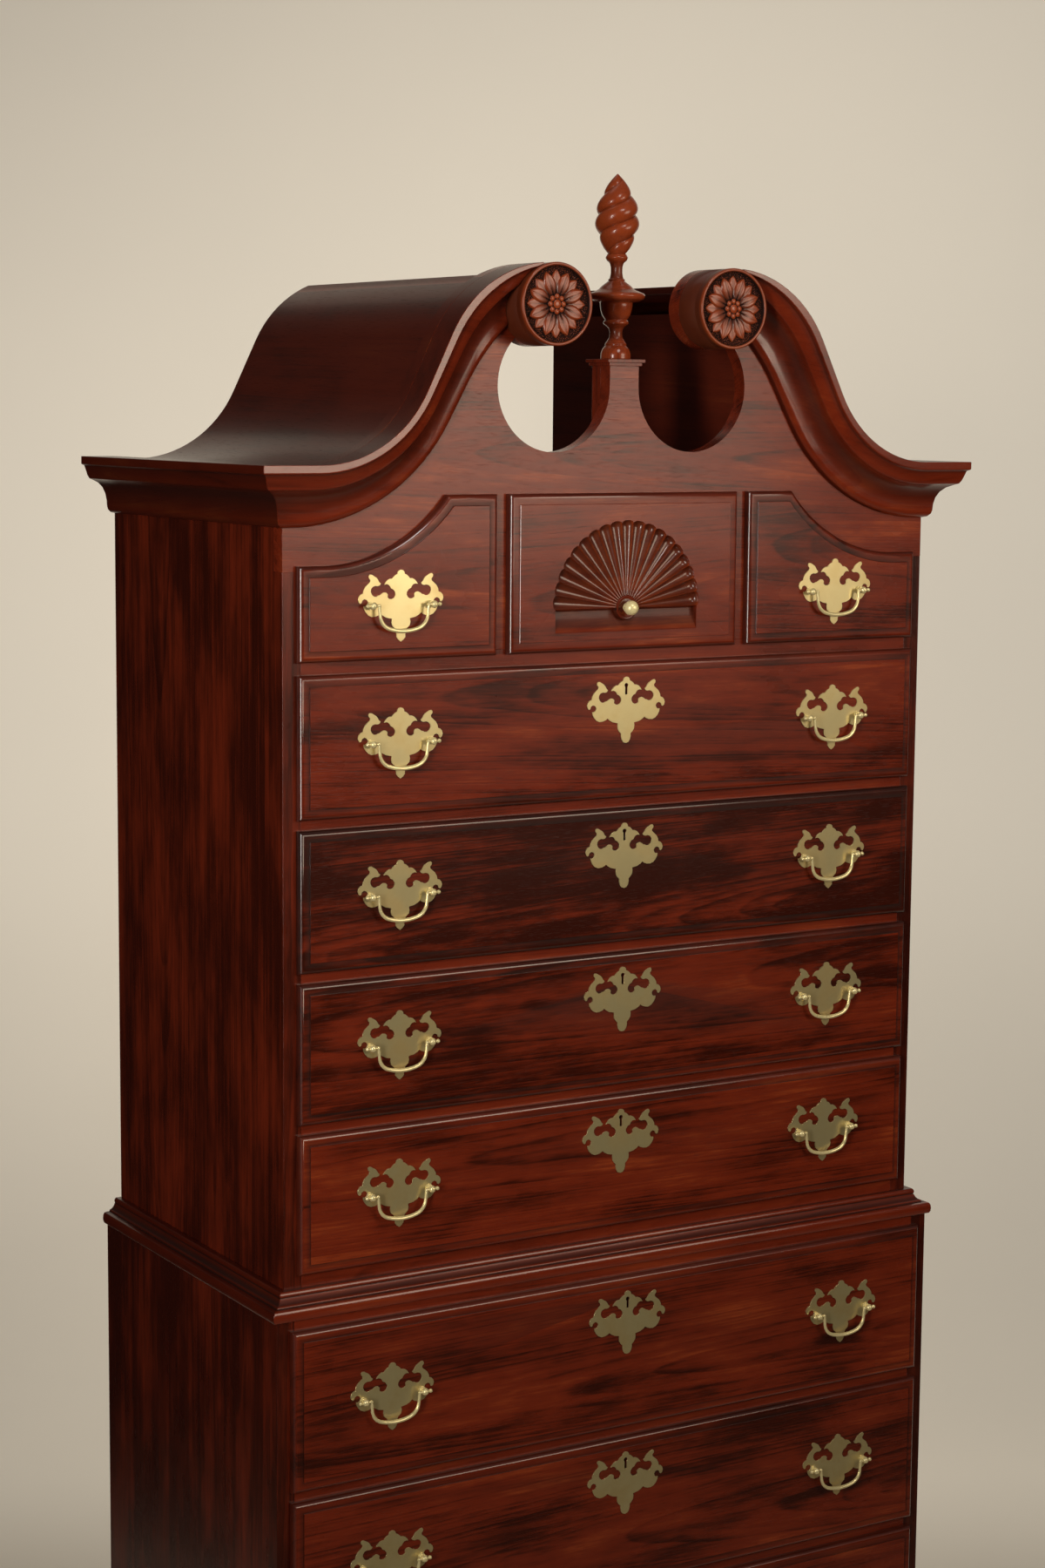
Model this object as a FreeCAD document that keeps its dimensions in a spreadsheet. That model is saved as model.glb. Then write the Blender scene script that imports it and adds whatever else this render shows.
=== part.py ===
import FreeCAD, Part
import math
import os
import re

# Bonnet-topped chest-on-chest: an upper case of long and short drawers on a wider lower case.
# X runs to the right along the front, Y to the back, Z up. The origin is on the floor, in the
# middle of the whole piece. Every length is in millimetres and is driven by the sheet below.

Vec = FreeCAD.Vector

UPPER_LONG = 4
LOWER_LONG = 3
FLUTES = 19
FLAME_LEVELS = 30

SIZES = {
    "upper_width": 874.0, "upper_depth": 448.0, "side_step": 18.8, "front_step": 19.5,
    "side_thickness": 22.0, "back_thickness": 8.0, "fit_clearance": 1.0, "seat_clearance": 0.3,
    "rail_depth": 60.0, "runner_width": 30.0, "floor_board": 14.0,
    "foot_height": 118.0, "foot_width": 150.0, "foot_thickness": 24.0, "foot_toe": 78.0,
    "foot_reach": 15.0, "base_rise": 40.0, "base_projection": 16.0, "base_reveal": 13.3,
    "lower_lip": 185.6, "lower_gap": 11.7, "lower_top_reveal": 10.6,
    "waist_rise": 31.0, "waist_projection": 24.7, "waist_reveal": 14.7,
    "upper_lip": 159.0, "upper_gap": 11.2, "top_row_gap": 13.6,
    "lip_overlap": 6.2, "lip_thickness": 9.5, "lip_round": 6.0, "field_inset": 12.5,
    "field_rise": 1.5, "tongue_depth": 14.0,
    "drawer_side": 12.0, "drawer_back": 10.0, "drawer_bottom": 7.0, "bottom_lift": 8.0,
    "drawer_headroom": 6.0, "drawer_stop": 14.0, "drawer_travel": 320.0,
    "centre_share": 0.358124, "top_row_space": 15.0, "centre_lip": 180.5, "shoulder_height": 105.0,
    "divider_thickness": 16.0,
    "cornice_lift": 146.1, "cornice_height": 68.3, "cornice_projection": 42.4,
    "scroll_thickness": 20.0, "eave_low": 9.5, "eave_high": 27.1,
    "drum_x": 119.3, "drum_rise": 176.2, "drum_radius": 46.0, "drum_proud": 4.0,
    "drum_recess": 6.0, "drum_rim": 3.6, "drum_button": 7.0,
    "crown_lead": 3.0, "crown_low_back": 128.5, "crown_low_drop": 6.2, "scroll_trim": 15.7,
    "hole_radius": 74.5, "neck_half": 19.5, "hole_rise": 86.6, "neck_rise": 23.5,
    "roof_thickness": 8.0, "roof_drop": 3.0, "wall_half": 182.0, "wall_thickness": 10.0,
    "roof_overhang": 7.0,
    "plinth_depth": 38.0, "plinth_length": 96.0, "cap_overhang": 5.5, "cap_height": 7.5,
    "finial_height": 209.0, "finial_radius": 33.2, "finial_dowel": 4.0, "dowel_depth": 30.0,
    "flame_height": 89.7, "flame_pitch": 44.6, "flame_radius": 25.4,
    "pull_inset": 123.6, "small_pull_rise": 60.8, "pull_lift": 2.0, "shield_drop": 17.2,
    "plate_half": 53.5, "plate_drop": 77.0, "plate_thickness": 1.2, "plate_post_drop": 38.5,
    "pull_boring": 76.2, "post_reach": 7.3, "post_ball": 4.2, "post_stem": 2.6,
    "post_flange": 4.4, "flange_thickness": 1.5, "shank_radius": 2.0, "shank_hole": 2.3,
    "nut_radius": 5.0, "nut_thickness": 3.0, "shank_tail": 2.0,
    "bail_half": 31.0, "bail_drop": 28.5, "bail_wire": 2.0, "bail_belly": 60.0,
    "belly_half": 14.0, "pin_radius": 1.6, "pin_clearance": 0.06, "pin_end_ball": 2.4,
    "keyhole_top": 9.8, "keyhole_radius": 2.6, "keyhole_slot": 1.6, "keyhole_length": 11.0,
    "fan_radius": 100.0, "fan_rise": 49.0, "fan_cove": 12.0, "fan_cove_drop": 15.0,
    "fan_cove_depth": 7.0,
    "fan_hub": 19.0, "knob_radius": 8.6, "knob_reach": 9.0, "knob_neck": 3.6,
    "knob_flange": 5.4,
    "overrun": 5.0,
}

# Outer rail, profile and carving tables, as shares of the sizes that they follow.
CORNICE_SHARES = (
    (0.0, 0.0), (0.13, 0.022), (0.205, 0.07), (0.232, 0.128), (0.245, 0.24), (0.287, 0.357),
    (0.37, 0.46), (0.5, 0.54), (0.68, 0.594), (0.76, 0.612), (0.82, 0.672), (0.863, 0.75),
    (0.91, 0.838), (0.985, 0.86), (1.0, 0.872), (1.0, 1.0),
)
WAIST_SHARES = (
    (0.76, 0.0), (0.93, 0.03), (0.985, 0.12), (1.0, 0.24), (0.985, 0.36), (0.93, 0.45),
    (0.80, 0.48), (0.64, 0.48), (0.64, 0.54), (0.52, 0.58), (0.43, 0.66), (0.37, 0.76),
    (0.34, 0.79), (0.38, 0.86), (0.36, 0.94), (0.30, 1.0),
)
BASE_SHARES = (
    (1.0, 0.0), (1.0, 0.3), (0.8, 0.34), (0.78, 0.48), (0.66, 0.62), (0.44, 0.74),
    (0.28, 0.86), (0.24, 0.94), (0.16, 1.0),
)
FOOT_SHARES = (
    (0.95, 0.0), (1.0, 0.05), (0.82, 0.14), (0.35, 0.34), (0.30, 0.48), (0.62, 0.68),
    (1.0, 0.86), (0.9, 1.0),
)
FOOT_CURVE_SHARES = ((0.0, 0.0), (0.12, 0.42), (0.55, 0.62), (0.58, 0.74), (1.0, 0.8))
PLATE_SHARES = (
    (0.0, 0.0), (0.049, 0.008), (0.079, 0.031), (0.086, 0.06), (0.135, 0.073), (0.179, 0.099),
    (0.209, 0.125), (0.262, 0.125), (0.318, 0.143), (0.363, 0.174), (0.393, 0.208),
    (0.34, 0.2), (0.288, 0.21), (0.25, 0.239), (0.236, 0.262), (0.176, 0.281), (0.135, 0.322),
    (0.131, 0.358), (0.161, 0.395), (0.213, 0.416), (0.269, 0.413), (0.316, 0.39),
    (0.31, 0.345), (0.348, 0.322), (0.404, 0.317), (0.456, 0.335), (0.493, 0.356),
    (0.531, 0.358), (0.568, 0.374), (0.624, 0.374), (0.677, 0.348), (0.707, 0.306),
    (0.699, 0.265), (0.662, 0.234), (0.602, 0.221), (0.542, 0.226), (0.497, 0.216),
    (0.471, 0.19), (0.512, 0.169), (0.535, 0.138), (0.572, 0.106), (0.628, 0.083),
    (0.68, 0.062), (0.729, 0.06), (0.755, 0.081), (0.748, 0.109), (0.714, 0.135),
    (0.721, 0.164), (0.774, 0.195), (0.834, 0.231), (0.875, 0.281), (0.886, 0.325),
    (0.942, 0.338), (0.983, 0.369), (1.0, 0.41), (0.983, 0.449), (0.95, 0.47),
    (0.92, 0.46), (0.905, 0.426), (0.852, 0.405), (0.796, 0.418), (0.766, 0.452),
    (0.785, 0.491), (0.83, 0.509), (0.867, 0.506), (0.86, 0.545), (0.819, 0.597),
    (0.759, 0.639), (0.677, 0.662), (0.591, 0.657), (0.516, 0.639), (0.475, 0.616),
    (0.422, 0.647), (0.336, 0.678), (0.243, 0.691), (0.209, 0.696),
)
SHIELD_TAIL_SHARES = (
    (0.217, 0.732), (0.209, 0.784), (0.168, 0.826), (0.12, 0.857), (0.123, 0.896),
    (0.105, 0.948), (0.064, 0.987), (0.0, 1.0),
)
PULL_TAIL_SHARES = (
    (0.222, 0.745), (0.206, 0.795), (0.135, 0.838), (0.12, 0.862), (0.1, 0.93),
    (0.103, 0.961), (0.056, 1.0), (0.0, 1.026),
)
FINIAL_SHARES = (
    (0.5, 0.0), (0.52, 0.012), (0.516, 0.032), (0.468, 0.055), (0.408, 0.067), (0.368, 0.075),
    (0.376, 0.083), (0.353, 0.089), (0.306, 0.1), (0.24, 0.118), (0.222, 0.145), (0.26, 0.169),
    (0.347, 0.181), (0.438, 0.193), (0.432, 0.205), (0.385, 0.214), (0.43, 0.224), (0.49, 0.24),
    (0.535, 0.263), (0.562, 0.287), (0.58, 0.309), (0.77, 0.3135), (0.937, 0.3245),
    (1.0, 0.341), (0.955, 0.356), (0.77, 0.368), (0.622, 0.379), (0.507, 0.397), (0.369, 0.414),
    (0.284, 0.424), (0.292, 0.431), (0.236, 0.44), (0.202, 0.467), (0.205, 0.499),
    (0.248, 0.521), (0.338, 0.534), (0.387, 0.549), (0.347, 0.563), (0.308, 0.571),
)
FLAME_SHARES = (
    (0.0, 0.45), (0.06, 0.58), (0.12, 0.69), (0.18, 0.8), (0.26, 0.92), (0.35, 0.99),
    (0.43, 1.0), (0.52, 0.98), (0.62, 0.89), (0.72, 0.74), (0.82, 0.54), (0.88, 0.4),
    (0.94, 0.24), (1.0, 0.03),
)
FLAME_LEAD_SHARE = 0.175
FLAME_WAIST_SHARE = 0.77
FLUTE_LAND_SHARE = 0.92
ARM_ANGLE = 84.0
SHOULDER_RUN_SHARE = 0.125
SHOULDER_FLAT_SHARE = 0.258
BEND_LOW_SHARE = 0.991
BEND_HIGH_SHARE = 0.964
BEND_LOW_SPLIT_SHARE = 0.472
BEND_HIGH_SPLIT_SHARE = 0.501

doc = FreeCAD.newDocument("chest_on_chest")
sheet = doc.addObject("Spreadsheet::Sheet", "sizes")
for row, (word, number) in enumerate(SIZES.items(), start=1):
    sheet.set("A%d" % row, word)
    sheet.set("B%d" % row, str(number))
    sheet.setAlias("B%d" % row, word)
doc.recompute()

layout = doc.addObject("App::VarSet", "layout")
places = []


def bound(text):
    """The expression with each word written as a cell of the sheet or a place of the layout."""
    def swap(match):
        word = match.group(0)
        if word in SIZES:
            return "sizes." + word
        if word in places:
            return "layout." + word
        return word
    return re.sub(r"[A-Za-z_][A-Za-z_0-9]*", swap, text)


def place(word, text):
    """Name a level or a distance that is worked out from the sheet."""
    layout.addProperty("App::PropertyFloat", word)
    layout.setExpression(word, bound(text))
    places.append(word)


place("half_upper", "upper_width / 2")
place("half_lower", "half_upper + side_step")
place("reach", "cornice_projection + drum_proud")
place("front", "-(upper_depth - reach) / 2")
place("back", "front + upper_depth")
place("back_face", "back - back_thickness")
place("low_front", "front - front_step")
place("upper_open", "half_upper - side_thickness")
place("lower_open", "half_lower - side_thickness")
place("carcass_base", "foot_height + base_rise")
place("lower_first", "carcass_base + base_reveal")
place("lower_pitch", "lower_lip + lower_gap")
place("lower_top", "lower_first + %d * lower_pitch - lower_gap + lower_top_reveal" % LOWER_LONG)
place("upper_first", "lower_top + waist_rise + waist_reveal")
place("upper_pitch", "upper_lip + upper_gap")
place("top_row", "upper_first + %d * upper_pitch - upper_gap + top_row_gap" % UPPER_LONG)
place("top_sill", "top_row + lip_overlap")
place("shoulder", "top_row + shoulder_height - lip_overlap")
place("cornice_base", "top_row + cornice_lift")
place("cornice_top", "cornice_base + cornice_height")
place("side_top", "cornice_top - roof_drop - roof_thickness")
place("floor_low", "side_top - floor_board")
place("centre_half", "half_upper * centre_share")
place("small_inner", "centre_half + top_row_space")
place("small_outer", "upper_open + lip_overlap")
place("divider_mid", "centre_half + top_row_space / 2")
place("upper_pull_x", "small_outer - pull_inset")
place("lower_pull_x", "lower_open + lip_overlap - pull_inset")
place("drum_z", "cornice_top + drum_rise")
place("hole_x", "neck_half + hole_radius")
place("hole_z", "cornice_top + hole_rise")
place("neck_top", "hole_z + neck_rise")
place("plate_face", "lip_thickness + field_rise + seat_clearance")
doc.recompute()


def at(word):
    """The value of a size or a place, in millimetres."""
    return float(getattr(layout, word)) if word in places else float(sheet.get(word))


nodes = {}


def node(name, thing):
    """Give a sub-part its own name and keep it for writing."""
    thing.Label = name
    nodes[name] = thing
    return thing


def board(name, x, y, z):
    """A plain board between two corners, each coordinate an expression of the sheet."""
    thing = doc.addObject("Part::Box", name)
    for prop, axis, (low, high) in (("Length", "x", x), ("Width", "y", y), ("Height", "z", z)):
        thing.setExpression(prop, bound("(%s) - (%s)" % (high, low)))
        thing.setExpression("Placement.Base." + axis, bound(low))
    return thing


def mirrored(side, inner, outer):
    """The low and high x of a board on one side, from its inner and outer distances."""
    return (inner, outer) if side > 0 else ("-(%s)" % outer, "-(%s)" % inner)


def across(half):
    """The low and high x of a board that spans the middle."""
    return ("-(%s)" % half, half)


def group(name, things):
    """Several separate solids that make one named sub-part."""
    thing = doc.addObject("Part::Compound", name)
    thing.Links = things
    return node(name, thing)


def fused(name, things):
    """One solid glued up from several."""
    thing = doc.addObject("Part::MultiFuse", name)
    thing.Shapes = things
    thing.Refine = True
    return thing


def cut(name, base, tool):
    """One solid with another taken out of it."""
    thing = doc.addObject("Part::Cut", name)
    thing.Base = base
    thing.Tool = tool
    return thing


def made(name, shape):
    """A sub-part with a shape of its own, worked out from the sheet."""
    thing = doc.addObject("Part::Feature", name)
    thing.Shape = shape
    return thing


def straight(start, end):
    return Part.LineSegment(start, end).toShape()


def bend(start, middle, end):
    return Part.Arc(start, middle, end).toShape()


def solid_of(faces):
    """A closed solid from its faces, turned the right way out."""
    shell = Part.makeShell(faces)
    shell.sewShape()
    solid = Part.makeSolid(shell)
    if solid.Volume < 0:
        solid.reverse()
    return solid


def flipped(shape):
    """The same piece on the other side of the middle plane."""
    return shape.mirror(Vec(0, 0, 0), Vec(1, 0, 0))


# Mouldings that go round three sides of a case, mitred at the front corners


def ring_of(profile, half, face):
    """The corner points of a profile, as (projection, height), at a front corner of a case."""
    return [Vec(half + out, face - out, high) for out, high in profile]


def mitred(profile, half, face, end):
    """The front, left and right lengths of a moulding round a case."""
    right = ring_of(profile, half, face)
    left = [Vec(-point.x, point.y, point.z) for point in right]
    rear = [Vec(point.x, end, point.z) for point in right]
    front_piece = prism_between(left, right)
    side_piece = prism_between(right, rear)
    return [front_piece, side_piece, flipped(side_piece)]


def prism_between(one, other):
    """A straight piece whose two ends are the same polygon, cut at any angle."""
    faces = [Part.Face(Part.makePolygon(one + one[:1])), Part.Face(Part.makePolygon(other + other[:1]))]
    count = len(one)
    for index in range(count):
        following = (index + 1) % count
        loop = [one[index], one[following], other[following], other[index], one[index]]
        faces.append(Part.Face(Part.makePolygon(loop)))
    return solid_of(faces)


def profile_of(shares, out, rise, base):
    """A closed moulding profile from its shares, with its back on the case."""
    points = [(share_out * out, base + share_up * rise) for share_out, share_up in shares]
    for level in (base + rise, base):
        if (0.0, level) not in points:
            points.append((0.0, level))
    return points


# The scroll of the pediment: a level eave, a hollow bend, a straight slope and a crown


def scroll(share, drop=0.0):
    """The right-hand scroll line at a share of the moulding's height, let down by a drop."""
    def between(low, high):
        return low + (high - low) * share
    start_x = at("half_upper") - between(at("eave_low"), at("eave_high"))
    start_z = at("cornice_base") + at("cornice_height") * share
    crown_x = at("drum_x") + between(-at("crown_low_back"), at("crown_lead"))
    crown_z = at("drum_z") + at("drum_radius") - between(at("crown_low_drop"), 0.0)
    run = start_x - crown_x
    rise = crown_z - start_z
    bends = (run * run + rise * rise) / (rise + rise) * between(BEND_LOW_SHARE, BEND_HIGH_SHARE)
    low_bend = bends * between(BEND_LOW_SPLIT_SHARE, BEND_HIGH_SPLIT_SHARE)
    high_bend = bends - low_bend
    slope_length = math.sqrt(run * run + rise * rise - 2 * bends * rise)
    slope = math.atan2(rise - bends, run) + math.atan2(bends, slope_length)
    return {
        "start": (start_x, start_z - drop),
        "low": (start_x, start_z + low_bend), "low_bend": low_bend + drop,
        "high": (crown_x, crown_z - high_bend), "high_bend": high_bend - drop, "slope": slope,
    }


def scroll_points(line, end_x):
    """The joints and mid points of a scroll line, down to where it reaches end_x."""
    slope = line["slope"]
    last = math.asin((end_x - line["high"][0]) / line["high_bend"])

    def low(angle):
        return (line["low"][0] - line["low_bend"] * math.sin(angle),
                line["low"][1] - line["low_bend"] * math.cos(angle))

    def high(angle):
        return (line["high"][0] + line["high_bend"] * math.sin(angle),
                line["high"][1] + line["high_bend"] * math.cos(angle))

    return [low(0.0), low(slope / 2), low(slope), high(slope), high((slope + last) / 2), high(last)]


def scroll_edges(share, drop, eave_x, end_x, y):
    """Four edges of a scroll line in the plane at y, from the eave to end_x."""
    line = scroll(share, drop)
    flat = [Vec(x, y, z) for x, z in scroll_points(line, end_x)]
    eave = Vec(eave_x, y, line["start"][1])
    return [straight(eave, flat[0]), bend(flat[0], flat[1], flat[2]), straight(flat[2], flat[3]),
            bend(flat[3], flat[4], flat[5])]


def goose_neck():
    """The right-hand scrolled cornice, from the mitre at the corner to the drum."""
    half = at("half_upper")
    face = at("front")
    end_x = at("drum_x") + at("scroll_trim")
    rails = []
    for out_share, up_share in CORNICE_SHARES + ((0.0, 1.0),):
        out = out_share * at("cornice_projection")
        rails.append(scroll_edges(up_share, 0.0, half + out, end_x, face - out))
    faces = []
    for one, other in zip(rails, rails[1:] + rails[:1]):
        faces += [Part.makeRuledSurface(first, second) for first, second in zip(one, other)]
    starts = [edges[0].valueAt(edges[0].FirstParameter) for edges in rails]
    ends = [edges[3].valueAt(edges[3].LastParameter) for edges in rails]
    for loop in (starts, ends):
        faces.append(Part.Face(Part.makePolygon(loop + loop[:1])))
    solid = solid_of(faces)
    radius = at("drum_radius") + at("seat_clearance")
    depth = at("cornice_projection") + at("overrun")
    middle = Vec(at("drum_x"), face + at("overrun"), at("drum_z"))
    drum = Part.makeCylinder(radius, depth + at("overrun"), middle, Vec(0, -1, 0))
    return max(solid.cut(drum).Solids, key=lambda piece: piece.Volume)


def cornice():
    out = at("cornice_projection")
    profile = profile_of(CORNICE_SHARES, out, at("cornice_height"), at("cornice_base"))
    side = mitred(profile, at("half_upper"), at("front"), at("back"))[1]
    neck = goose_neck()
    return Part.makeCompound([neck, flipped(neck), side, flipped(side)])


def roof_face(y, drop_top, drop_low, outer, end_x):
    """The end of a curved roof sheet, between two lines under the scroll's upper edge."""
    top = scroll_edges(1.0, drop_top, outer, end_x, y)
    low = scroll_edges(1.0, drop_low, outer, end_x, y)
    caps = [straight(top[3].valueAt(top[3].LastParameter), low[3].valueAt(low[3].LastParameter)),
            straight(top[0].valueAt(top[0].FirstParameter), low[0].valueAt(low[0].FirstParameter))]
    return Part.Face(Part.Wire(Part.__sortEdges__(top + low + caps)))


def under_roof(y, inner, outer, base):
    """A face from a level up to just under the roof sheet, between two distances."""
    drop = at("roof_drop") + at("roof_thickness") + at("seat_clearance")
    top = scroll_edges(1.0, drop, outer, inner, y)
    left = top[3].valueAt(top[3].LastParameter)
    right = top[0].valueAt(top[0].FirstParameter)
    foot_left = Vec(inner, y, base)
    foot_right = Vec(outer, y, base)
    edges = top + [straight(left, foot_left), straight(foot_left, foot_right),
                   straight(foot_right, right)]
    return Part.Face(Part.Wire(Part.__sortEdges__(edges)))


def bonnet():
    """Two curved roof sheets and the two upright boards that carry their inner edges."""
    start = at("front") + at("scroll_thickness")
    length = at("back") - start
    drop = at("roof_drop")
    inner = at("wall_half") - at("roof_overhang")
    roof = roof_face(start, drop, drop + at("roof_thickness"), at("half_upper"), inner)
    roof = roof.extrude(Vec(0, length, 0))
    slab = under_roof(start, at("wall_half"), at("half_upper"), at("floor_low"))
    slab = slab.extrude(Vec(0, length, 0))
    keep = Part.makeBox(at("wall_thickness"), length, at("drum_z") - at("side_top"),
                        Vec(at("wall_half"), start, at("side_top")))
    wall = slab.common(keep).Solids[0]
    return Part.makeCompound([roof, flipped(roof), wall, flipped(wall)])


def bonnet_back():
    """The right-hand board that closes the bonnet at the back, inside the roof sheet."""
    inner = at("wall_half") + at("wall_thickness")
    outer = at("half_upper") - at("side_thickness")
    slab = under_roof(at("back_face"), inner, outer, at("floor_low"))
    slab = slab.extrude(Vec(0, at("back_thickness"), 0))
    keep = Part.makeBox(outer, at("back_thickness"), at("drum_z") - at("side_top"),
                        Vec(inner, at("back_face"), at("side_top")))
    return slab.common(keep).Solids[0]


def shoulder_wire(side, inset, y, base=None):
    """The outline of a top drawer beside the middle one, drawn in by an inset."""
    inner = at("small_inner") + inset
    outer = at("small_outer") - inset
    low = at("top_row") + inset if base is None else base
    top = at("top_row") + at("centre_lip") - inset
    ledge = at("top_row") + at("shoulder_height") - inset
    width = at("small_outer") - at("small_inner")
    middle_x = at("small_outer") - width * SHOULDER_RUN_SHARE
    run = width * (1 - SHOULDER_RUN_SHARE - SHOULDER_FLAT_SHARE)
    rise = at("centre_lip") - at("shoulder_height")
    radius = (run * run + rise * rise) / (rise + rise) + inset
    middle_z = ledge + radius

    def arc(angle):
        return (middle_x - radius * math.sin(angle), middle_z - radius * math.cos(angle))

    reach = math.acos((middle_z - top) / radius)
    spots = [(inner, low), (outer, low), (outer, ledge), (middle_x, ledge), arc(reach / 2),
             arc(reach), (inner, top)]
    flat = [Vec(side * x, y, z) for x, z in spots]
    edges = [straight(flat[0], flat[1]), straight(flat[1], flat[2]), straight(flat[2], flat[3]),
             bend(flat[3], flat[4], flat[5]), straight(flat[5], flat[6]),
             straight(flat[6], flat[0])]
    return Part.Wire(edges)


def dowel_hole():
    """The hole for the finial's dowel, down the joint of the neck and the block behind it."""
    middle = Vec(0, at("front") + at("plinth_depth") / 2,
                 at("neck_top") + at("cap_height") - at("dowel_depth") - at("overrun"))
    return Part.makeCylinder(at("finial_dowel") + at("pin_clearance"),
                             at("dowel_depth") + at("overrun") * 2, middle, Vec(0, 0, 1))


def scroll_board():
    """The pierced front board: top-row openings, two round holes, neck and drum seats."""
    y = at("front")
    deep = Vec(0, at("scroll_thickness"), 0)
    end_x = at("drum_x") + at("crown_lead")
    half = at("half_upper")
    top = scroll_edges(1.0, 0.0, half, end_x, y)
    crown = top[3].valueAt(top[3].LastParameter)
    eave = top[0].valueAt(top[0].FirstParameter)
    base = at("shoulder")
    inner = at("small_inner") + at("lip_overlap")
    corner = Vec(at("drum_x"), y, at("drum_z"))
    joints = [crown, corner, Vec(0, y, corner.z), Vec(0, y, at("top_sill")),
              Vec(inner, y, at("top_sill")), Vec(inner, y, base), Vec(half, y, base), eave]
    edges = top + [straight(one, other) for one, other in zip(joints, joints[1:])]
    board_half = Part.Face(Part.Wire(Part.__sortEdges__(edges))).extrude(deep)
    over = at("overrun")
    through = at("scroll_thickness") + over + over
    lowest = at("top_sill") - over
    tools = [
        Part.makeCylinder(at("hole_radius"), through, Vec(at("hole_x"), y - over, at("hole_z")),
                          Vec(0, 1, 0)),
        Part.makeBox(at("drum_x") - at("neck_half"), through, at("drum_rise"),
                     Vec(at("neck_half"), y - over, at("hole_z"))),
        Part.makeBox(at("neck_half") + over, through, at("drum_rise"),
                     Vec(-over, y - over, at("neck_top"))),
        Part.makeBox(at("centre_half") - at("lip_overlap") + over, through,
                     at("top_row") + at("centre_lip") - at("lip_overlap") - lowest,
                     Vec(-over, y - over, lowest)),
        Part.Face(shoulder_wire(1, at("lip_overlap"), y - over, lowest)).extrude(
            Vec(0, through, 0)),
    ]
    board_half = board_half.cut(tools)
    seat = Part.makeCylinder(at("drum_radius"), at("scroll_thickness"), corner, Vec(0, 1, 0))
    board_half = board_half.fuse(seat).removeSplitter()
    whole = board_half.fuse(flipped(board_half)).removeSplitter()
    return whole.cut(dowel_hole()).Solids[0]


node("scroll_board", made("scroll_board", scroll_board()))
node("cornice_moulding", made("cornice_moulding", cornice()))
node("bonnet_roof", made("bonnet_roof", bonnet()))


# Case sides, backs and frames

for case, half, face, low, high in (("upper", "half_upper", "front", "lower_top", "side_top"),
                                    ("lower", "half_lower", "low_front", "foot_height", "lower_top")):
    pair = []
    for side in (-1, 1):
        name = "%s_side_%s" % (case, "left" if side < 0 else "right")
        depth = (face, "back")
        piece = board(name, mirrored(side, half + " - side_thickness", half), depth, (low, high))
        if case == "upper":
            notch = board(name + "_notch",
                          mirrored(side, half + " - side_thickness - overrun", half + " + overrun"),
                          ("front - overrun", "front + scroll_thickness"),
                          ("shoulder", "side_top + overrun"))
            piece = cut(name + "_shaped", piece, notch)
        pair.append(piece)
    group(case + "_case_sides", pair)

backs = [
    board("upper_back", across("upper_open"), ("back_face", "back"), ("lower_top", "side_top")),
    board("lower_back", across("lower_open"), ("back_face", "back"), ("foot_height", "lower_top")),
    made("bonnet_back_right", bonnet_back()),
    made("bonnet_back_left", flipped(bonnet_back())),
]
group("case_backs", backs)


def level(name, opening, face, low, high, runners):
    """A front rail and the runners behind it, at one height in a case."""
    pieces = [board(name + "_rail", across(opening), (face, face + " + rail_depth"), (low, high))]
    for index, (inner, outer) in enumerate(runners):
        for side in (-1, 1):
            if inner == "0" and side < 0:
                continue
            span = across(outer) if inner == "0" else mirrored(side, inner, outer)
            pieces.append(board("%s_runner_%d%s" % (name, index, "l" if side < 0 else "r"), span,
                                (face + " + rail_depth", "back_face"), (low, high)))
    return pieces


upper_sides = [("upper_open - runner_width", "upper_open")]
upper_frame = [
    board("upper_plinth_rail", across("upper_open"), ("front", "front + side_thickness"),
          ("lower_top", "upper_first + lip_overlap")),
    board("upper_bottom", across("upper_open"), ("front + side_thickness", "back_face"),
          ("lower_top", "lower_top + floor_board")),
]
for side in (-1, 1):
    upper_frame.append(board("upper_floor_runner_%s" % ("l" if side < 0 else "r"),
                             mirrored(side, *upper_sides[0]),
                             ("front + side_thickness", "back_face"),
                             ("lower_top + floor_board", "upper_first + lip_overlap")))
for step in range(1, UPPER_LONG + 1):
    low = "upper_first + %d * upper_pitch - upper_gap - lip_overlap" % step
    if step < UPPER_LONG:
        upper_frame += level("upper_level_%d" % step, "upper_open", "front", low,
                             "upper_first + %d * upper_pitch + lip_overlap" % step, upper_sides)
    else:
        divider = [("divider_mid - runner_width", "divider_mid + runner_width")]
        upper_frame += level("upper_level_%d" % step, "upper_open", "front", low, "top_sill",
                             upper_sides + divider)
for side in (-1, 1):
    upper_frame.append(board("upper_divider_%s" % ("l" if side < 0 else "r"),
                             mirrored(side, "divider_mid - divider_thickness / 2",
                                      "divider_mid + divider_thickness / 2"),
                             ("front + scroll_thickness", "back_face"),
                             ("top_sill", "floor_low")))
upper_frame.append(board("bonnet_floor", across("upper_open"),
                         ("front + scroll_thickness", "back_face"), ("floor_low", "side_top")))
group("upper_case_frame", upper_frame)

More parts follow.
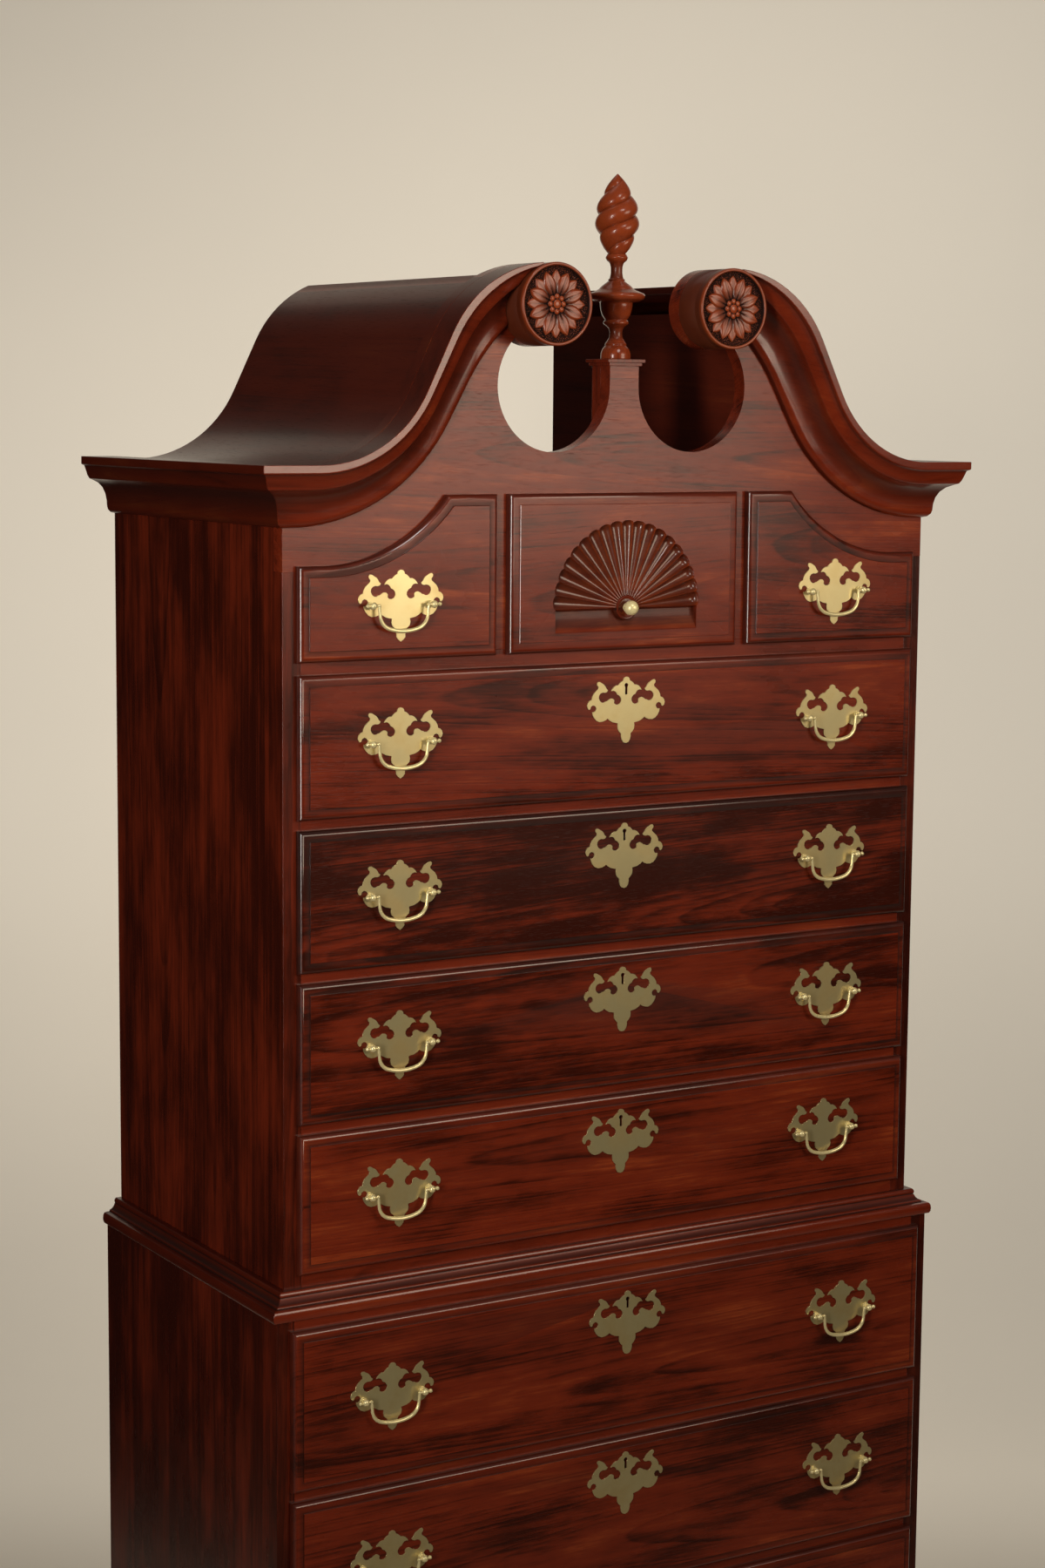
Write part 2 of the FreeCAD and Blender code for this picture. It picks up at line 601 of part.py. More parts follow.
lower_sides = [("lower_open - runner_width", "lower_open")]
lower_frame = [
    board("lower_plinth_rail", across("lower_open"), ("low_front", "low_front + side_thickness"),
          ("foot_height", "lower_first + lip_overlap")),
    board("lower_bottom", across("lower_open"), ("low_front + side_thickness", "back_face"),
          ("foot_height", "foot_height + floor_board")),
    board("lower_top_board", across("lower_open"), ("low_front", "back_face"),
          ("lower_top - lower_top_reveal - lip_overlap", "lower_top")),
]
for side in (-1, 1):
    lower_frame.append(board("lower_floor_runner_%s" % ("l" if side < 0 else "r"),
                             mirrored(side, *lower_sides[0]),
                             ("low_front + side_thickness", "back_face"),
                             ("foot_height + floor_board", "lower_first + lip_overlap")))
for step in range(1, LOWER_LONG):
    lower_frame += level("lower_level_%d" % step, "lower_open", "low_front",
                         "lower_first + %d * lower_pitch - lower_gap - lip_overlap" % step,
                         "lower_first + %d * lower_pitch + lip_overlap" % step, lower_sides)
group("lower_case_frame", lower_frame)

# Waist and base mouldings, and the bracket feet

waist = profile_of(WAIST_SHARES, at("waist_projection"), at("waist_rise"), at("lower_top"))
node("waist_moulding", made("waist_moulding", Part.makeCompound(
    mitred(waist, at("half_upper"), at("front"), at("back")))))
base = profile_of(BASE_SHARES, at("base_projection"), at("base_rise"), at("foot_height"))
node("base_moulding", made("base_moulding", Part.makeCompound(
    mitred(base, at("half_lower"), at("low_front"), at("back")))))


def foot_section():
    """The bulging section of a foot, as a closed face in the YZ plane at its outer end."""
    reach = at("foot_reach")
    points = [Vec(0, -out * reach, up * at("foot_height")) for out, up in FOOT_SHARES]
    curve = Part.BSplineCurve()
    curve.interpolate(points)
    inner = at("foot_thickness") - reach
    rim = [points[-1], Vec(0, inner, at("foot_height")), Vec(0, inner, 0), points[0]]
    edges = [curve.toShape()] + [straight(one, other) for one, other in zip(rim, rim[1:])]
    return Part.Face(Part.Wire(Part.__sortEdges__(edges)))


def foot_hollow(length):
    """The scrolled piece sawn out under a bracket, from its toe to its inner end."""
    toe = at("foot_toe")
    span = length - toe
    points = [Vec(toe + out * span, 0, up * at("foot_height")) for out, up in FOOT_CURVE_SHARES]
    rounded = bend(points[0], points[1], points[2])
    ogee = bend(points[3], Vec((points[3].x + points[4].x) / 2, 0, points[4].z), points[4])
    over = at("overrun")
    rim = [points[4], Vec(length + over, 0, points[4].z), Vec(length + over, 0, -over),
           Vec(toe, 0, -over), points[0]]
    edges = [rounded, straight(points[2], points[3]), ogee]
    edges += [straight(one, other) for one, other in zip(rim, rim[1:])]
    face = Part.Face(Part.Wire(Part.__sortEdges__(edges)))
    face.translate(Vec(0, -at("foot_reach") - over, 0))
    return face.extrude(Vec(0, at("foot_thickness") + over + over, 0))


def bracket(length, start):
    """A bracket along X from start to length, with its case face on y = 0 at x = 0."""
    section = foot_section()
    section.translate(Vec(start, 0, 0))
    return section.extrude(Vec(length - start, 0, 0)).cut(foot_hollow(length))


def bracket_feet():
    """Four feet: mitred brackets at the front, a side and a plain back bracket behind."""
    reach = at("foot_reach") + at("overrun")
    length = at("foot_width")
    inner = at("foot_thickness") - at("foot_reach")
    wedge = [Vec(-reach, -reach, 0), Vec(length, -reach, 0), Vec(length, inner, 0),
             Vec(inner, inner, 0), Vec(-reach, -reach, 0)]
    mitre = Part.Face(Part.makePolygon(wedge)).extrude(Vec(0, 0, at("foot_height")))
    face = bracket(length, -reach).common(mitre).Solids[0]
    side = face.mirror(Vec(0, 0, 0), Vec(1, -1, 0))
    corner = Vec(-at("half_lower"), at("low_front"), 0)
    plain = bracket(length, 0).mirror(Vec(0, 0, 0), Vec(1, -1, 0))
    plain = plain.mirror(Vec(0, 0, 0), Vec(0, 1, 0))
    plain.translate(Vec(-at("half_lower"), at("back"), 0))
    stop = Part.makeBox(length - inner, at("foot_thickness"), at("foot_height"),
                        Vec(-at("half_lower") + inner, at("back") - at("foot_thickness"), 0))
    hollow = foot_hollow(length)
    hollow.translate(Vec(-at("half_lower"),
                         at("back") - at("foot_thickness") + at("foot_reach"), 0))
    stop = stop.cut(hollow)
    left = []
    for piece in (face, side):
        piece.translate(corner)
        left.append(piece)
    left += [plain, stop]
    left = [piece.Solids[0] for piece in left]
    return Part.makeCompound(left + [flipped(piece) for piece in left])


node("bracket_feet", made("bracket_feet", bracket_feet()))

# Rosettes, plinth and finial, turned in a lathe


def turned(name, points):
    """A piece turned about Z from its (radius, height) points, as a body with a revolution."""
    body = doc.addObject("PartDesign::Body", name)
    plane = next(item for item in body.Origin.OriginFeatures if item.Role == "XZ_Plane")
    sketch = body.newObject("Sketcher::SketchObject", name + "_outline")
    sketch.AttachmentSupport = [(plane, "")]
    sketch.MapMode = "FlatFace"
    closed = [(0.0, points[0][1])] + list(points) + [(0.0, points[-1][1])]
    closed = [spot for index, spot in enumerate(closed) if index == 0 or spot != closed[index - 1]]
    for one, other in zip(closed, closed[1:] + closed[:1]):
        sketch.addGeometry(Part.LineSegment(Vec(one[0], one[1], 0), Vec(other[0], other[1], 0)))
    turning = body.newObject("PartDesign::Revolution", name + "_turning")
    turning.Profile = (sketch, [""])
    turning.ReferenceAxis = (sketch, ["V_Axis"])
    turning.Angle = 360.0
    return body


drum_length = at("cornice_projection") + at("drum_proud")
rim = at("drum_radius")
floor = drum_length - at("drum_recess")
band = at("drum_rim")
drum_points = [
    (rim, 0.0), (rim, floor - 3 * band), (rim - band / 2, floor - 3 * band),
    (rim - band / 2, floor - 2 * band), (rim, floor - 2 * band), (rim, drum_length - band / 2),
    (rim - band / 2, drum_length), (rim - band, drum_length - band / 2), (rim - band, floor),
    (at("drum_button") * 2, floor), (at("drum_button"), floor + band / 2),
    (at("drum_button") / 2, drum_length - band / 4),
]
drums = []
for side in (-1, 1):
    drum = turned("rosette_%s" % ("left" if side < 0 else "right"), drum_points)
    drum.Placement.Rotation = FreeCAD.Rotation(Vec(1, 0, 0), 90)
    for axis, text in (("x", "%d * drum_x" % side), ("y", "front"), ("z", "drum_z")):
        drum.setExpression("Placement.Base." + axis, bound(text))
    drums.append(drum)
group("rosettes", drums)

plinth = board("plinth_block", across("neck_half"), ("front + scroll_thickness", "front + plinth_depth"),
               ("neck_top - plinth_length", "neck_top"))
cap_low = board("cap_moulding", across("neck_half + cap_overhang / 2"),
                ("front - cap_overhang / 2", "front + plinth_depth + cap_overhang / 2"),
                ("neck_top", "neck_top + cap_height / 2"))
cap_top = board("cap_top", across("neck_half + cap_overhang"),
                ("front - cap_overhang", "front + plinth_depth + cap_overhang"),
                ("neck_top + cap_height / 2", "neck_top + cap_height"))
plinth_whole = fused("plinth_whole", [plinth, cap_low, cap_top])
node("finial_plinth", cut("finial_plinth", plinth_whole, made("finial_mortise", dowel_hole())))

foot_z = at("neck_top") + at("cap_height")
tall = at("finial_height")
wide = at("finial_radius")
urn_points = [(share_r * wide, share_z * tall) for share_r, share_z in FINIAL_SHARES]
urn_points = [(at("finial_dowel"), -at("dowel_depth")), (at("finial_dowel"), 0.0)] + urn_points
urn = turned("finial_urn", urn_points)
urn.setExpression("Placement.Base.y", bound("front + plinth_depth / 2"))
urn.setExpression("Placement.Base.z", bound("neck_top + cap_height"))


def flame_radius_at(share):
    """The flame's widest radius at a share of its height."""
    for (low, low_r), (high, high_r) in zip(FLAME_SHARES, FLAME_SHARES[1:]):
        if share <= high:
            return (low_r + (high_r - low_r) * (share - low) / (high - low)) * at("flame_radius")
    return FLAME_SHARES[-1][1] * at("flame_radius")


def flame():
    """The spiral flame: two round strands twisted about each other, tapering to a point."""
    base = FINIAL_SHARES[-1][1] * tall
    wires = []
    for step in range(FLAME_LEVELS + 1):
        share = step / FLAME_LEVELS
        wide_r = flame_radius_at(share)
        waist_r = wide_r * FLAME_WAIST_SHARE
        turn = 2 * math.pi * (FLAME_LEAD_SHARE + share * at("flame_height") / at("flame_pitch"))
        high = base + share * at("flame_height")

        def spot(angle, radius):
            return Vec(radius * math.cos(angle + turn), radius * math.sin(angle + turn), high)

        quarter = math.pi / 2
        arcs = [bend(spot(-quarter, waist_r), spot(0, wide_r), spot(quarter, waist_r)),
                bend(spot(quarter, waist_r), spot(2 * quarter, wide_r), spot(-quarter, waist_r))]
        wires.append(Part.Wire(arcs))
    return Part.makeLoft(wires, True, True)


flame_shape = flame()
flame_shape.translate(Vec(0, at("front") + at("plinth_depth") / 2, foot_z))
flame_piece = made("finial_flame", flame_shape)
node("finial", fused("finial", [urn, flame_piece]))
doc.recompute()

# Drawers: a lipped front, a box behind it, and its brasses

BODIES = {"case": [name for name in nodes]}


def edges_in_front(shape):
    """The numbers of the edges round the front face of a board."""
    plane = shape.BoundBox.YMin + at("seat_clearance")
    return [index for index, edge in enumerate(shape.Edges, start=1)
            if edge.BoundBox.YMax < plane]


def lipped_front(name, x, face, z, tools):
    """A square drawer front: a lip with a rounded edge, a raised field and a tongue behind."""
    lip = board(name + "_lip", x, (face + " - seat_clearance - lip_thickness",
                                   face + " - seat_clearance"), z)
    lip.recompute()
    front_edges = edges_in_front(lip.Shape)
    rounded = doc.addObject("Part::Fillet", name + "_rounded")
    rounded.Base = lip
    rounded.Edges = [(index, at("lip_round"), at("lip_round")) for index in front_edges]
    field = board(name + "_field", (x[0] + " + field_inset", x[1] + " - field_inset"),
                  (face + " - plate_face", face + " - seat_clearance - lip_thickness"),
                  (z[0] + " + field_inset", z[1] + " - field_inset"))
    tongue = board(name + "_tongue",
                   (x[0] + " + lip_overlap + fit_clearance", x[1] + " - lip_overlap - fit_clearance"),
                   (face + " - seat_clearance", face + " + tongue_depth"),
                   (z[0] + " + lip_overlap + seat_clearance",
                    z[1] + " - lip_overlap - fit_clearance"))
    return bored(name, fused(name + "_glued", [rounded, field, tongue]), tools)


def shoulder_front(name, side, tools):
    """A top drawer front whose upper edge follows the scroll of the cornice."""
    face = at("front") - at("seat_clearance")
    lip = Part.Face(shoulder_wire(side, 0.0, face)).extrude(Vec(0, -at("lip_thickness"), 0))
    rim = [lip.Edges[index - 1] for index in edges_in_front(lip)]
    lip = lip.makeFillet(at("lip_round"), rim)
    field = Part.Face(shoulder_wire(side, at("field_inset"), face - at("lip_thickness")))
    field = field.extrude(Vec(0, -at("field_rise"), 0))
    inset = at("lip_overlap") + at("fit_clearance")
    sill = at("top_sill") + at("seat_clearance")
    tongue = Part.Face(shoulder_wire(side, inset, face, sill))
    tongue = tongue.extrude(Vec(0, at("tongue_depth") + at("seat_clearance"), 0))
    glued = made(name + "_glued", lip.fuse([field, tongue]).removeSplitter().Solids[0])
    return bored(name, glued, tools)


def bore(name, radius, face, x, z):
    """A drill that goes right through a drawer front."""
    drill = doc.addObject("Part::Cylinder", name)
    drill.setExpression("Radius", bound(radius))
    drill.setExpression("Height", bound("plate_face + tongue_depth + overrun + overrun"))
    drill.Placement.Rotation = FreeCAD.Rotation(Vec(1, 0, 0), 90)
    drill.setExpression("Placement.Base.x", bound(x))
    drill.setExpression("Placement.Base.y", bound(face + " + tongue_depth + overrun"))
    drill.setExpression("Placement.Base.z", bound(z))
    return drill


def keyhole(name, face, top):
    """A round eye over a narrow slot, through the front behind its shield."""
    middle = top + " - keyhole_top"
    eye = bore(name + "_eye", "keyhole_radius", face, "0", middle)
    slot = board(name + "_slot", across("keyhole_slot"),
                 (face + " - plate_face - overrun", face + " + tongue_depth + overrun"),
                 (middle + " - keyhole_length", middle))
    return fused(name, [eye, slot])


def bored(name, front, tools):
    """A drawer front with its holes bored through it."""
    if not tools:
        return front
    drills = doc.addObject("Part::Compound", name + "_bores")
    drills.Links = tools
    return cut(name + "_bored", front, drills)


def post_bores(name, face, spots):
    """The drills for the posts of a front's pulls, from the (x, z) of each pull."""
    return [bore("%s_bore_%d_%s" % (name, index, word), "shank_hole", face,
                 "%s %s pull_boring / 2" % (x, sign), z)
            for index, (x, z) in enumerate(spots) for word, sign in (("left", "-"), ("right", "+"))]


def drawer_box(name, x, face, z):
    """Two sides, a back and a bottom, butted to the tongue of the front."""
    inner = (x[0] + " + drawer_side", x[1] + " - drawer_side")
    depth = (face + " + tongue_depth", "back_face - drawer_stop")
    floor_z = z[0] + " + bottom_lift"
    return group(name, [
        board(name + "_left", (x[0], inner[0]), depth, z),
        board(name + "_right", (inner[1], x[1]), depth, z),
        board(name + "_back", inner, ("back_face - drawer_stop - drawer_back", depth[1]),
              (floor_z + " + drawer_bottom", z[1])),
        board(name + "_bottom", inner, depth, (floor_z, floor_z + " + drawer_bottom")),
    ])


def plate(tail, key):
    """A pierced brass plate, its top point at the origin and its back on y = 0."""
    shares = list(PLATE_SHARES) + list(tail)
    half = [(x * at("plate_half"), -z * at("plate_drop")) for x, z in shares]
    loop = half + [(-x, z) for x, z in reversed(half[1:-1])]
    flat = [Vec(x, 0, z) for x, z in loop]
    deep = Vec(0, -at("plate_thickness"), 0)
    whole = Part.Face(Part.makePolygon(flat + flat[:1])).extrude(deep)
    over = at("overrun")
    through = at("plate_thickness") + over + over
    if not key:
        holes = [Part.makeCylinder(at("shank_hole"), through,
                                   Vec(side * at("pull_boring") / 2, over,
                                       -at("plate_post_drop")), Vec(0, -1, 0))
                 for side in (-1, 1)]
        return whole.cut(holes)
    slot = at("keyhole_slot")
    top = -at("keyhole_top")
    eye = Part.makeCylinder(at("keyhole_radius"), through, Vec(0, over, top), Vec(0, -1, 0))
    neck = Part.makeBox(slot + slot, through, at("keyhole_length"),
                        Vec(-slot, over - through, top - at("keyhole_length")))
    return whole.cut([eye, neck])


def post(bore):
    """A post through the front: flange, stem, ball with an eye, and a shank for its nut."""
    ahead = Vec(0, -1, 0)
    shelf = at("plate_thickness")
    ball_y = -shelf - at("post_reach")
    behind = at("plate_face") + at("tongue_depth") + at("nut_thickness") + at("shank_tail")
    shank = Part.makeCylinder(at("shank_radius"), behind + shelf, Vec(0, behind, 0), ahead)
    flange = Part.makeCylinder(at("post_flange"), at("flange_thickness"), Vec(0, -shelf, 0), ahead)
    stem = Part.makeCylinder(at("post_stem"), at("post_reach"), Vec(0, -shelf, 0), ahead)
    ball = Part.makeSphere(at("post_ball"), Vec(0, ball_y, 0))
    over = at("overrun") + at("post_ball")
    eye = Part.makeCylinder(bore, over + over, Vec(-over, ball_y, 0), Vec(1, 0, 0))
    return shank.fuse([flange, stem, ball]).removeSplitter().cut(eye).Solids[0]


def nut():
    """The six-sided nut that holds a post from inside the drawer."""
    start = at("plate_face") + at("tongue_depth")
    corners = [Vec(at("nut_radius") * math.cos(step * math.pi / 3), start,
                   at("nut_radius") * math.sin(step * math.pi / 3)) for step in range(7)]
    block = Part.Face(Part.makePolygon(corners)).extrude(Vec(0, at("nut_thickness"), 0))
    hole = Part.makeCylinder(at("shank_radius") + at("pin_clearance"),
                             at("nut_thickness") + at("overrun"), Vec(0, start, 0), Vec(0, 1, 0))
    return block.cut(hole)


PULL_PLATE = plate(PULL_TAIL_SHARES, False)
SHIELD = plate(SHIELD_TAIL_SHARES, True)
POST = post(at("pin_radius") + at("pin_clearance"))
NUT = nut()


def bail():
    """A bail hanging from its two pins, with the pin line at the origin."""
    turn = math.radians(ARM_ANGLE)
    belly = at("bail_belly")
    lean = math.asin(at("belly_half") / belly)
    drop = at("bail_drop")
    rise = belly * (1 - math.cos(lean))
    corner = at("bail_half") - at("belly_half") - (drop - rise) / math.tan(turn)
    corner /= (math.sin(turn) - math.sin(lean)) - (math.cos(lean) - math.cos(turn)) / math.tan(turn)
    middle = (at("belly_half") - corner * math.sin(lean), rise - drop + corner * math.cos(lean))

    def around(angle):
        return (middle[0] + corner * math.sin(angle), middle[1] - corner * math.cos(angle))

    right = [(at("bail_half"), 0.0), around(turn), around((turn + lean) / 2), around(lean)]
    flat = [Vec(x, 0, z) for x, z in right]
    other = [Vec(-x, 0, z) for x, z in right]
    path = Part.Wire([straight(flat[0], flat[1]), bend(flat[1], flat[2], flat[3]),
                      bend(flat[3], Vec(0, 0, -drop), other[3]), bend(other[3], other[2], other[1]),
                      straight(other[1], other[0])])
    tangent = flat[1] - flat[0]
    ring = Part.Wire(Part.makeCircle(at("bail_wire"), flat[0], tangent))
    tube = path.makePipeShell([ring], True, False)
    extras = []
    end_x = at("pull_boring") / 2 + at("post_ball") + at("seat_clearance") + at("pin_end_ball")
    for side in (-1, 1):
        start = Vec(side * at("bail_half"), 0, 0)
        extras.append(Part.makeCylinder(at("pin_radius"), end_x - at("bail_half"), start,
                                        Vec(side, 0, 0)))
        extras.append(Part.makeSphere(at("bail_wire"), start))
        extras.append(Part.makeSphere(at("pin_end_ball"), Vec(side * end_x, 0, 0)))
    return tube.fuse(extras).removeSplitter().Solids[0]


BAIL = bail()


def moved(shape, x, y, z):
    copy = shape.copy()
    copy.translate(Vec(x, y, z))
    return copy


def brasses(name, face, pulls, shield):
    """The plates, posts and nuts of one drawer, and its keyhole shield if it has one."""
    y = face - at("plate_face")
    pieces = []
    for x, z in pulls:
        pieces.append(moved(PULL_PLATE, x, y, z + at("plate_post_drop")))
        for side in (-1, 1):
            for piece in (POST, NUT):
                pieces.append(moved(piece, x + side * at("pull_boring") / 2, y, z))
    if shield is not None:
        pieces.append(moved(SHIELD, 0.0, y, shield - at("shield_drop")))
    return node(name, made(name, Part.makeCompound(pieces)))


def add_drawer(body, front, box, fittings, bails):
    BODIES[body] = [body + "_front", body + "_box"] + fittings
    node(body + "_front", front)
    for name, shape in bails:
        node(name, made(name, shape))
        BODIES[name] = [name]


def long_drawer(body, half, face, low, high, pull_x):
    """A long drawer with two bail pulls and a keyhole shield in the middle."""
    pull_z = "(%s + %s) / 2 + pull_lift" % (low, high)
    tools = post_bores(body, face, [("-" + pull_x, pull_z), (pull_x, pull_z)])
    tools.append(keyhole(body + "_keyhole", face, "%s - shield_drop" % high))
    lip = half + " + lip_overlap"
    front = lipped_front(body + "_front", across(lip), face, (low, high), tools)
    box = drawer_box(body + "_box", across(half + " - fit_clearance"), face,
                     (low + " + lip_overlap + seat_clearance",
                      high + " - lip_overlap - fit_clearance - drawer_headroom"))
    doc.recompute()
    lip_low = front.Shape.BoundBox.ZMin
    lip_high = front.Shape.BoundBox.ZMax
    z = (lip_low + lip_high) / 2 + at("pull_lift")
    pulls = [(side * at(pull_x), z) for side in (-1, 1)]
    brasses(body + "_brasses", at(face), pulls, lip_high)
    y = at(face) - at("plate_face") - at("plate_thickness") - at("post_reach")
    hung = [("%s_bail_%s" % (body, word), moved(BAIL, x, y, z))
            for word, (x, z) in zip(("left", "right"), pulls)]
    add_drawer(body, front, box, [body + "_brasses"], hung)


for step in range(UPPER_LONG):
    low = "(upper_first + %d * upper_pitch)" % (UPPER_LONG - 1 - step)
    long_drawer("upper_drawer_%d" % (step + 1), "upper_open", "front", low, low + " + upper_lip",
                "upper_pull_x")
for step in range(LOWER_LONG):
    low = "(lower_first + %d * lower_pitch)" % (LOWER_LONG - 1 - step)
    long_drawer("lower_drawer_%d" % (step + 1), "lower_open", "low_front", low,
                low + " + lower_lip", "lower_pull_x")


def side_drawer(body, side):
    """A top drawer beside the middle one, with one bail pull."""
    tools = post_bores(body, "front", [("%d * upper_pull_x" % side, "top_row + small_pull_rise")])
    front = shoulder_front(body + "_front", side, tools)
    inner = "small_inner + lip_overlap + fit_clearance"
    outer = "small_outer - lip_overlap - fit_clearance"
    box = drawer_box(body + "_box", mirrored(side, inner, outer), "front",
                     ("top_sill + seat_clearance", "shoulder - fit_clearance - drawer_headroom"))
    spot = (side * at("upper_pull_x"), at("top_row") + at("small_pull_rise"))
    brasses(body + "_brasses", at("front"), [spot], None)
    y = at("front") - at("plate_face") - at("plate_thickness") - at("post_reach")
    add_drawer(body, front, box, [body + "_brasses"],
               [(body + "_bail", moved(BAIL, spot[0], y, spot[1]))])


def carved_fan():
    """The cutters of the shell: tapering flutes with round ends, and the cove under them."""
    field = at("front") - at("plate_face")
    middle = Vec(0, field, at("top_row") + at("fan_rise"))
    spread = math.tan(math.pi / FLUTES / 2) * FLUTE_LAND_SHARE
    end_r = at("fan_radius") * spread / (1 + spread)
    start_r = at("fan_hub") * spread
    length = at("fan_radius") - end_r - at("fan_hub")
    cutters = []
    for index in range(FLUTES):
        angle = (index + 1 / 2) * math.pi / FLUTES
        way = Vec(math.cos(angle), 0, math.sin(angle))
        cone = Part.makeCone(start_r, end_r, length, middle + way * at("fan_hub"), way)
        tip = Part.makeSphere(end_r, middle + way * (at("fan_radius") - end_r))
        cutters.append(cone.fuse(tip).Solids[0])
    half = at("fan_cove")
    deep = at("fan_cove_depth")
    cove_r = (half * half + deep * deep) / (deep + deep)
    corner = middle - Vec(at("fan_radius"), cove_r - deep, at("fan_cove_drop"))
    cutters.append(Part.makeCylinder(cove_r, at("fan_radius") * 2, corner, Vec(1, 0, 0)))
    return cutters


def middle_drawer(body):
    """The carved middle drawer of the top row, drawn by a small brass knob."""
    low = "top_row"
    high = "top_row + centre_lip"
    front = lipped_front(body + "_front", across("centre_half"), "front", (low, high), [])
    doc.recompute()
    bore = Part.makeCylinder(at("shank_hole"), at("plate_face") + at("tongue_depth")
                             + at("overrun") * 2,
                             Vec(0, at("front") + at("tongue_depth") + at("overrun"),
                                 at("top_row") + at("fan_rise")), Vec(0, -1, 0))
    carving = made(body + "_carving", Part.makeCompound(carved_fan() + [bore]))
    front = cut(body + "_carved", front, carving)
    half = "centre_half - lip_overlap - fit_clearance"
    box = drawer_box(body + "_box", across(half), "front",
                     ("top_sill + seat_clearance",
                      high + " - lip_overlap - fit_clearance - drawer_headroom"))
    radius = at("knob_radius")
    neck = at("knob_neck")
    reach = at("knob_reach")
    ball = [(radius * math.sin(angle), reach - radius * math.cos(angle))
            for angle in (math.radians(step) for step in range(30, 181, 10))]
    back = at("plate_face") + at("tongue_depth") + at("shank_tail") + at("nut_thickness")
    profile = [(at("shank_radius"), -back), (at("shank_radius"), 0.0), (at("knob_flange"), 0.0),
               (at("knob_flange"), at("flange_thickness") / 2),
               (neck, at("flange_thickness"))] + ball[:-1]
    knob = turned(body + "_knob_turned", profile + [(0.0, reach + radius)])
    knob.Placement.Rotation = FreeCAD.Rotation(Vec(1, 0, 0), 90)
    knob.setExpression("Placement.Base.y", bound("front - plate_face"))
    knob.setExpression("Placement.Base.z", bound("top_row + fan_rise"))
    holder = made(body + "_knob_nut", moved(NUT, 0.0, at("front") - at("plate_face"),
                                            at("top_row") + at("fan_rise")))
    group(body + "_knob", [knob, holder])
    add_drawer(body, front, box, [body + "_knob"], [])


side_drawer("top_drawer_left", -1)
middle_drawer("top_drawer_centre")
side_drawer("top_drawer_right", 1)
doc.recompute()

# Check everything, then write one file for each named sub-part

for thing in doc.Objects:
    if "Invalid" in thing.State or "Error" in thing.State:
        raise RuntimeError("%s did not build: %s" % (thing.Name, thing.State))
for name, thing in nodes.items():
    shape = thing.Shape
    if shape.isNull() or not shape.isValid() or not shape.Solids:
        raise RuntimeError("%s has no sound solid" % name)
os.makedirs("parts", exist_ok=True)
for name, thing in nodes.items():
    thing.Shape.exportStep(os.path.join("parts", name + ".step"))
print("%d sub-parts, %d solids" % (len(nodes), sum(len(t.Shape.Solids) for t in nodes.values())))
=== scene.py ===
import math
import random

import bmesh
import bpy
import numpy as np
from bpy.props import FloatProperty, FloatVectorProperty, IntProperty, PointerProperty
from mathutils import Matrix, Vector


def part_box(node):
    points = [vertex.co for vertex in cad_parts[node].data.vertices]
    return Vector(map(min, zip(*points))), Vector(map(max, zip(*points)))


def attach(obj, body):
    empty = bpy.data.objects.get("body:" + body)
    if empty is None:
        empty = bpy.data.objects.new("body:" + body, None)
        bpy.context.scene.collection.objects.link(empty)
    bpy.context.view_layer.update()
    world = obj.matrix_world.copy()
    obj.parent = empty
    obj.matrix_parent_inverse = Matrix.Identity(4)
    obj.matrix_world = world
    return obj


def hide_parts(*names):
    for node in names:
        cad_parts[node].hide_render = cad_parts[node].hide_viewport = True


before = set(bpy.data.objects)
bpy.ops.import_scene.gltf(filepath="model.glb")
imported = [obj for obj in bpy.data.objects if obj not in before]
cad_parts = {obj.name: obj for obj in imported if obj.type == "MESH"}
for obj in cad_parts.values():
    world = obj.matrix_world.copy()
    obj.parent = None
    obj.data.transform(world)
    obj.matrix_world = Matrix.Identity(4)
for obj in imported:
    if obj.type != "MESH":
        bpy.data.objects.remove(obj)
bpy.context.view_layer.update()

bl_info = {
    "name": "Bonnet-topped chest-on-chest",
    "version": (1, 0, 0),
    "blender": (4, 5, 0),
    "location": "View3D > Sidebar > Chest",
    "description": "Dresses a bonnet-topped chest-on-chest in figured cherry and cast brass",
    "category": "Object",
}

MM = 0.001
CASE = "case"
UPPER_LONG = 4
LOWER_LONG = 3
AHEAD = (0.5196, 0.8544)
WELD = 2e-6
FLAT_ANGLE = math.radians(0.6)
EDGE_ANGLE = math.radians(32)
SOFT_ANGLE = math.radians(50)
FOLD_ANGLE = math.radians(28)
AWAY = -0.25
LOOKS_UP = 0.25

FINIAL_SHARES = (
    (0.5, 0.0), (0.52, 0.012), (0.516, 0.032), (0.468, 0.055), (0.408, 0.067), (0.368, 0.075),
    (0.376, 0.083), (0.353, 0.089), (0.306, 0.1), (0.24, 0.118), (0.222, 0.145), (0.26, 0.169),
    (0.347, 0.181), (0.438, 0.193), (0.432, 0.205), (0.385, 0.214), (0.43, 0.224), (0.49, 0.24),
    (0.535, 0.263), (0.562, 0.287), (0.58, 0.309), (0.77, 0.3135), (0.937, 0.3245),
    (1.0, 0.341), (0.955, 0.356), (0.77, 0.368), (0.622, 0.379), (0.507, 0.397), (0.369, 0.414),
    (0.284, 0.424), (0.292, 0.431), (0.236, 0.44), (0.202, 0.467), (0.205, 0.499),
    (0.248, 0.521), (0.338, 0.534), (0.387, 0.549), (0.347, 0.563), (0.308, 0.571),
)
FLAME_SHARES = (
    (0.0, 0.45), (0.06, 0.58), (0.12, 0.69), (0.18, 0.8), (0.26, 0.92), (0.35, 0.99),
    (0.43, 1.0), (0.52, 0.98), (0.62, 0.89), (0.72, 0.74), (0.82, 0.54), (0.88, 0.4),
    (0.94, 0.24), (1.0, 0.03),
)
FINIAL_RADIUS = 33.2 * MM
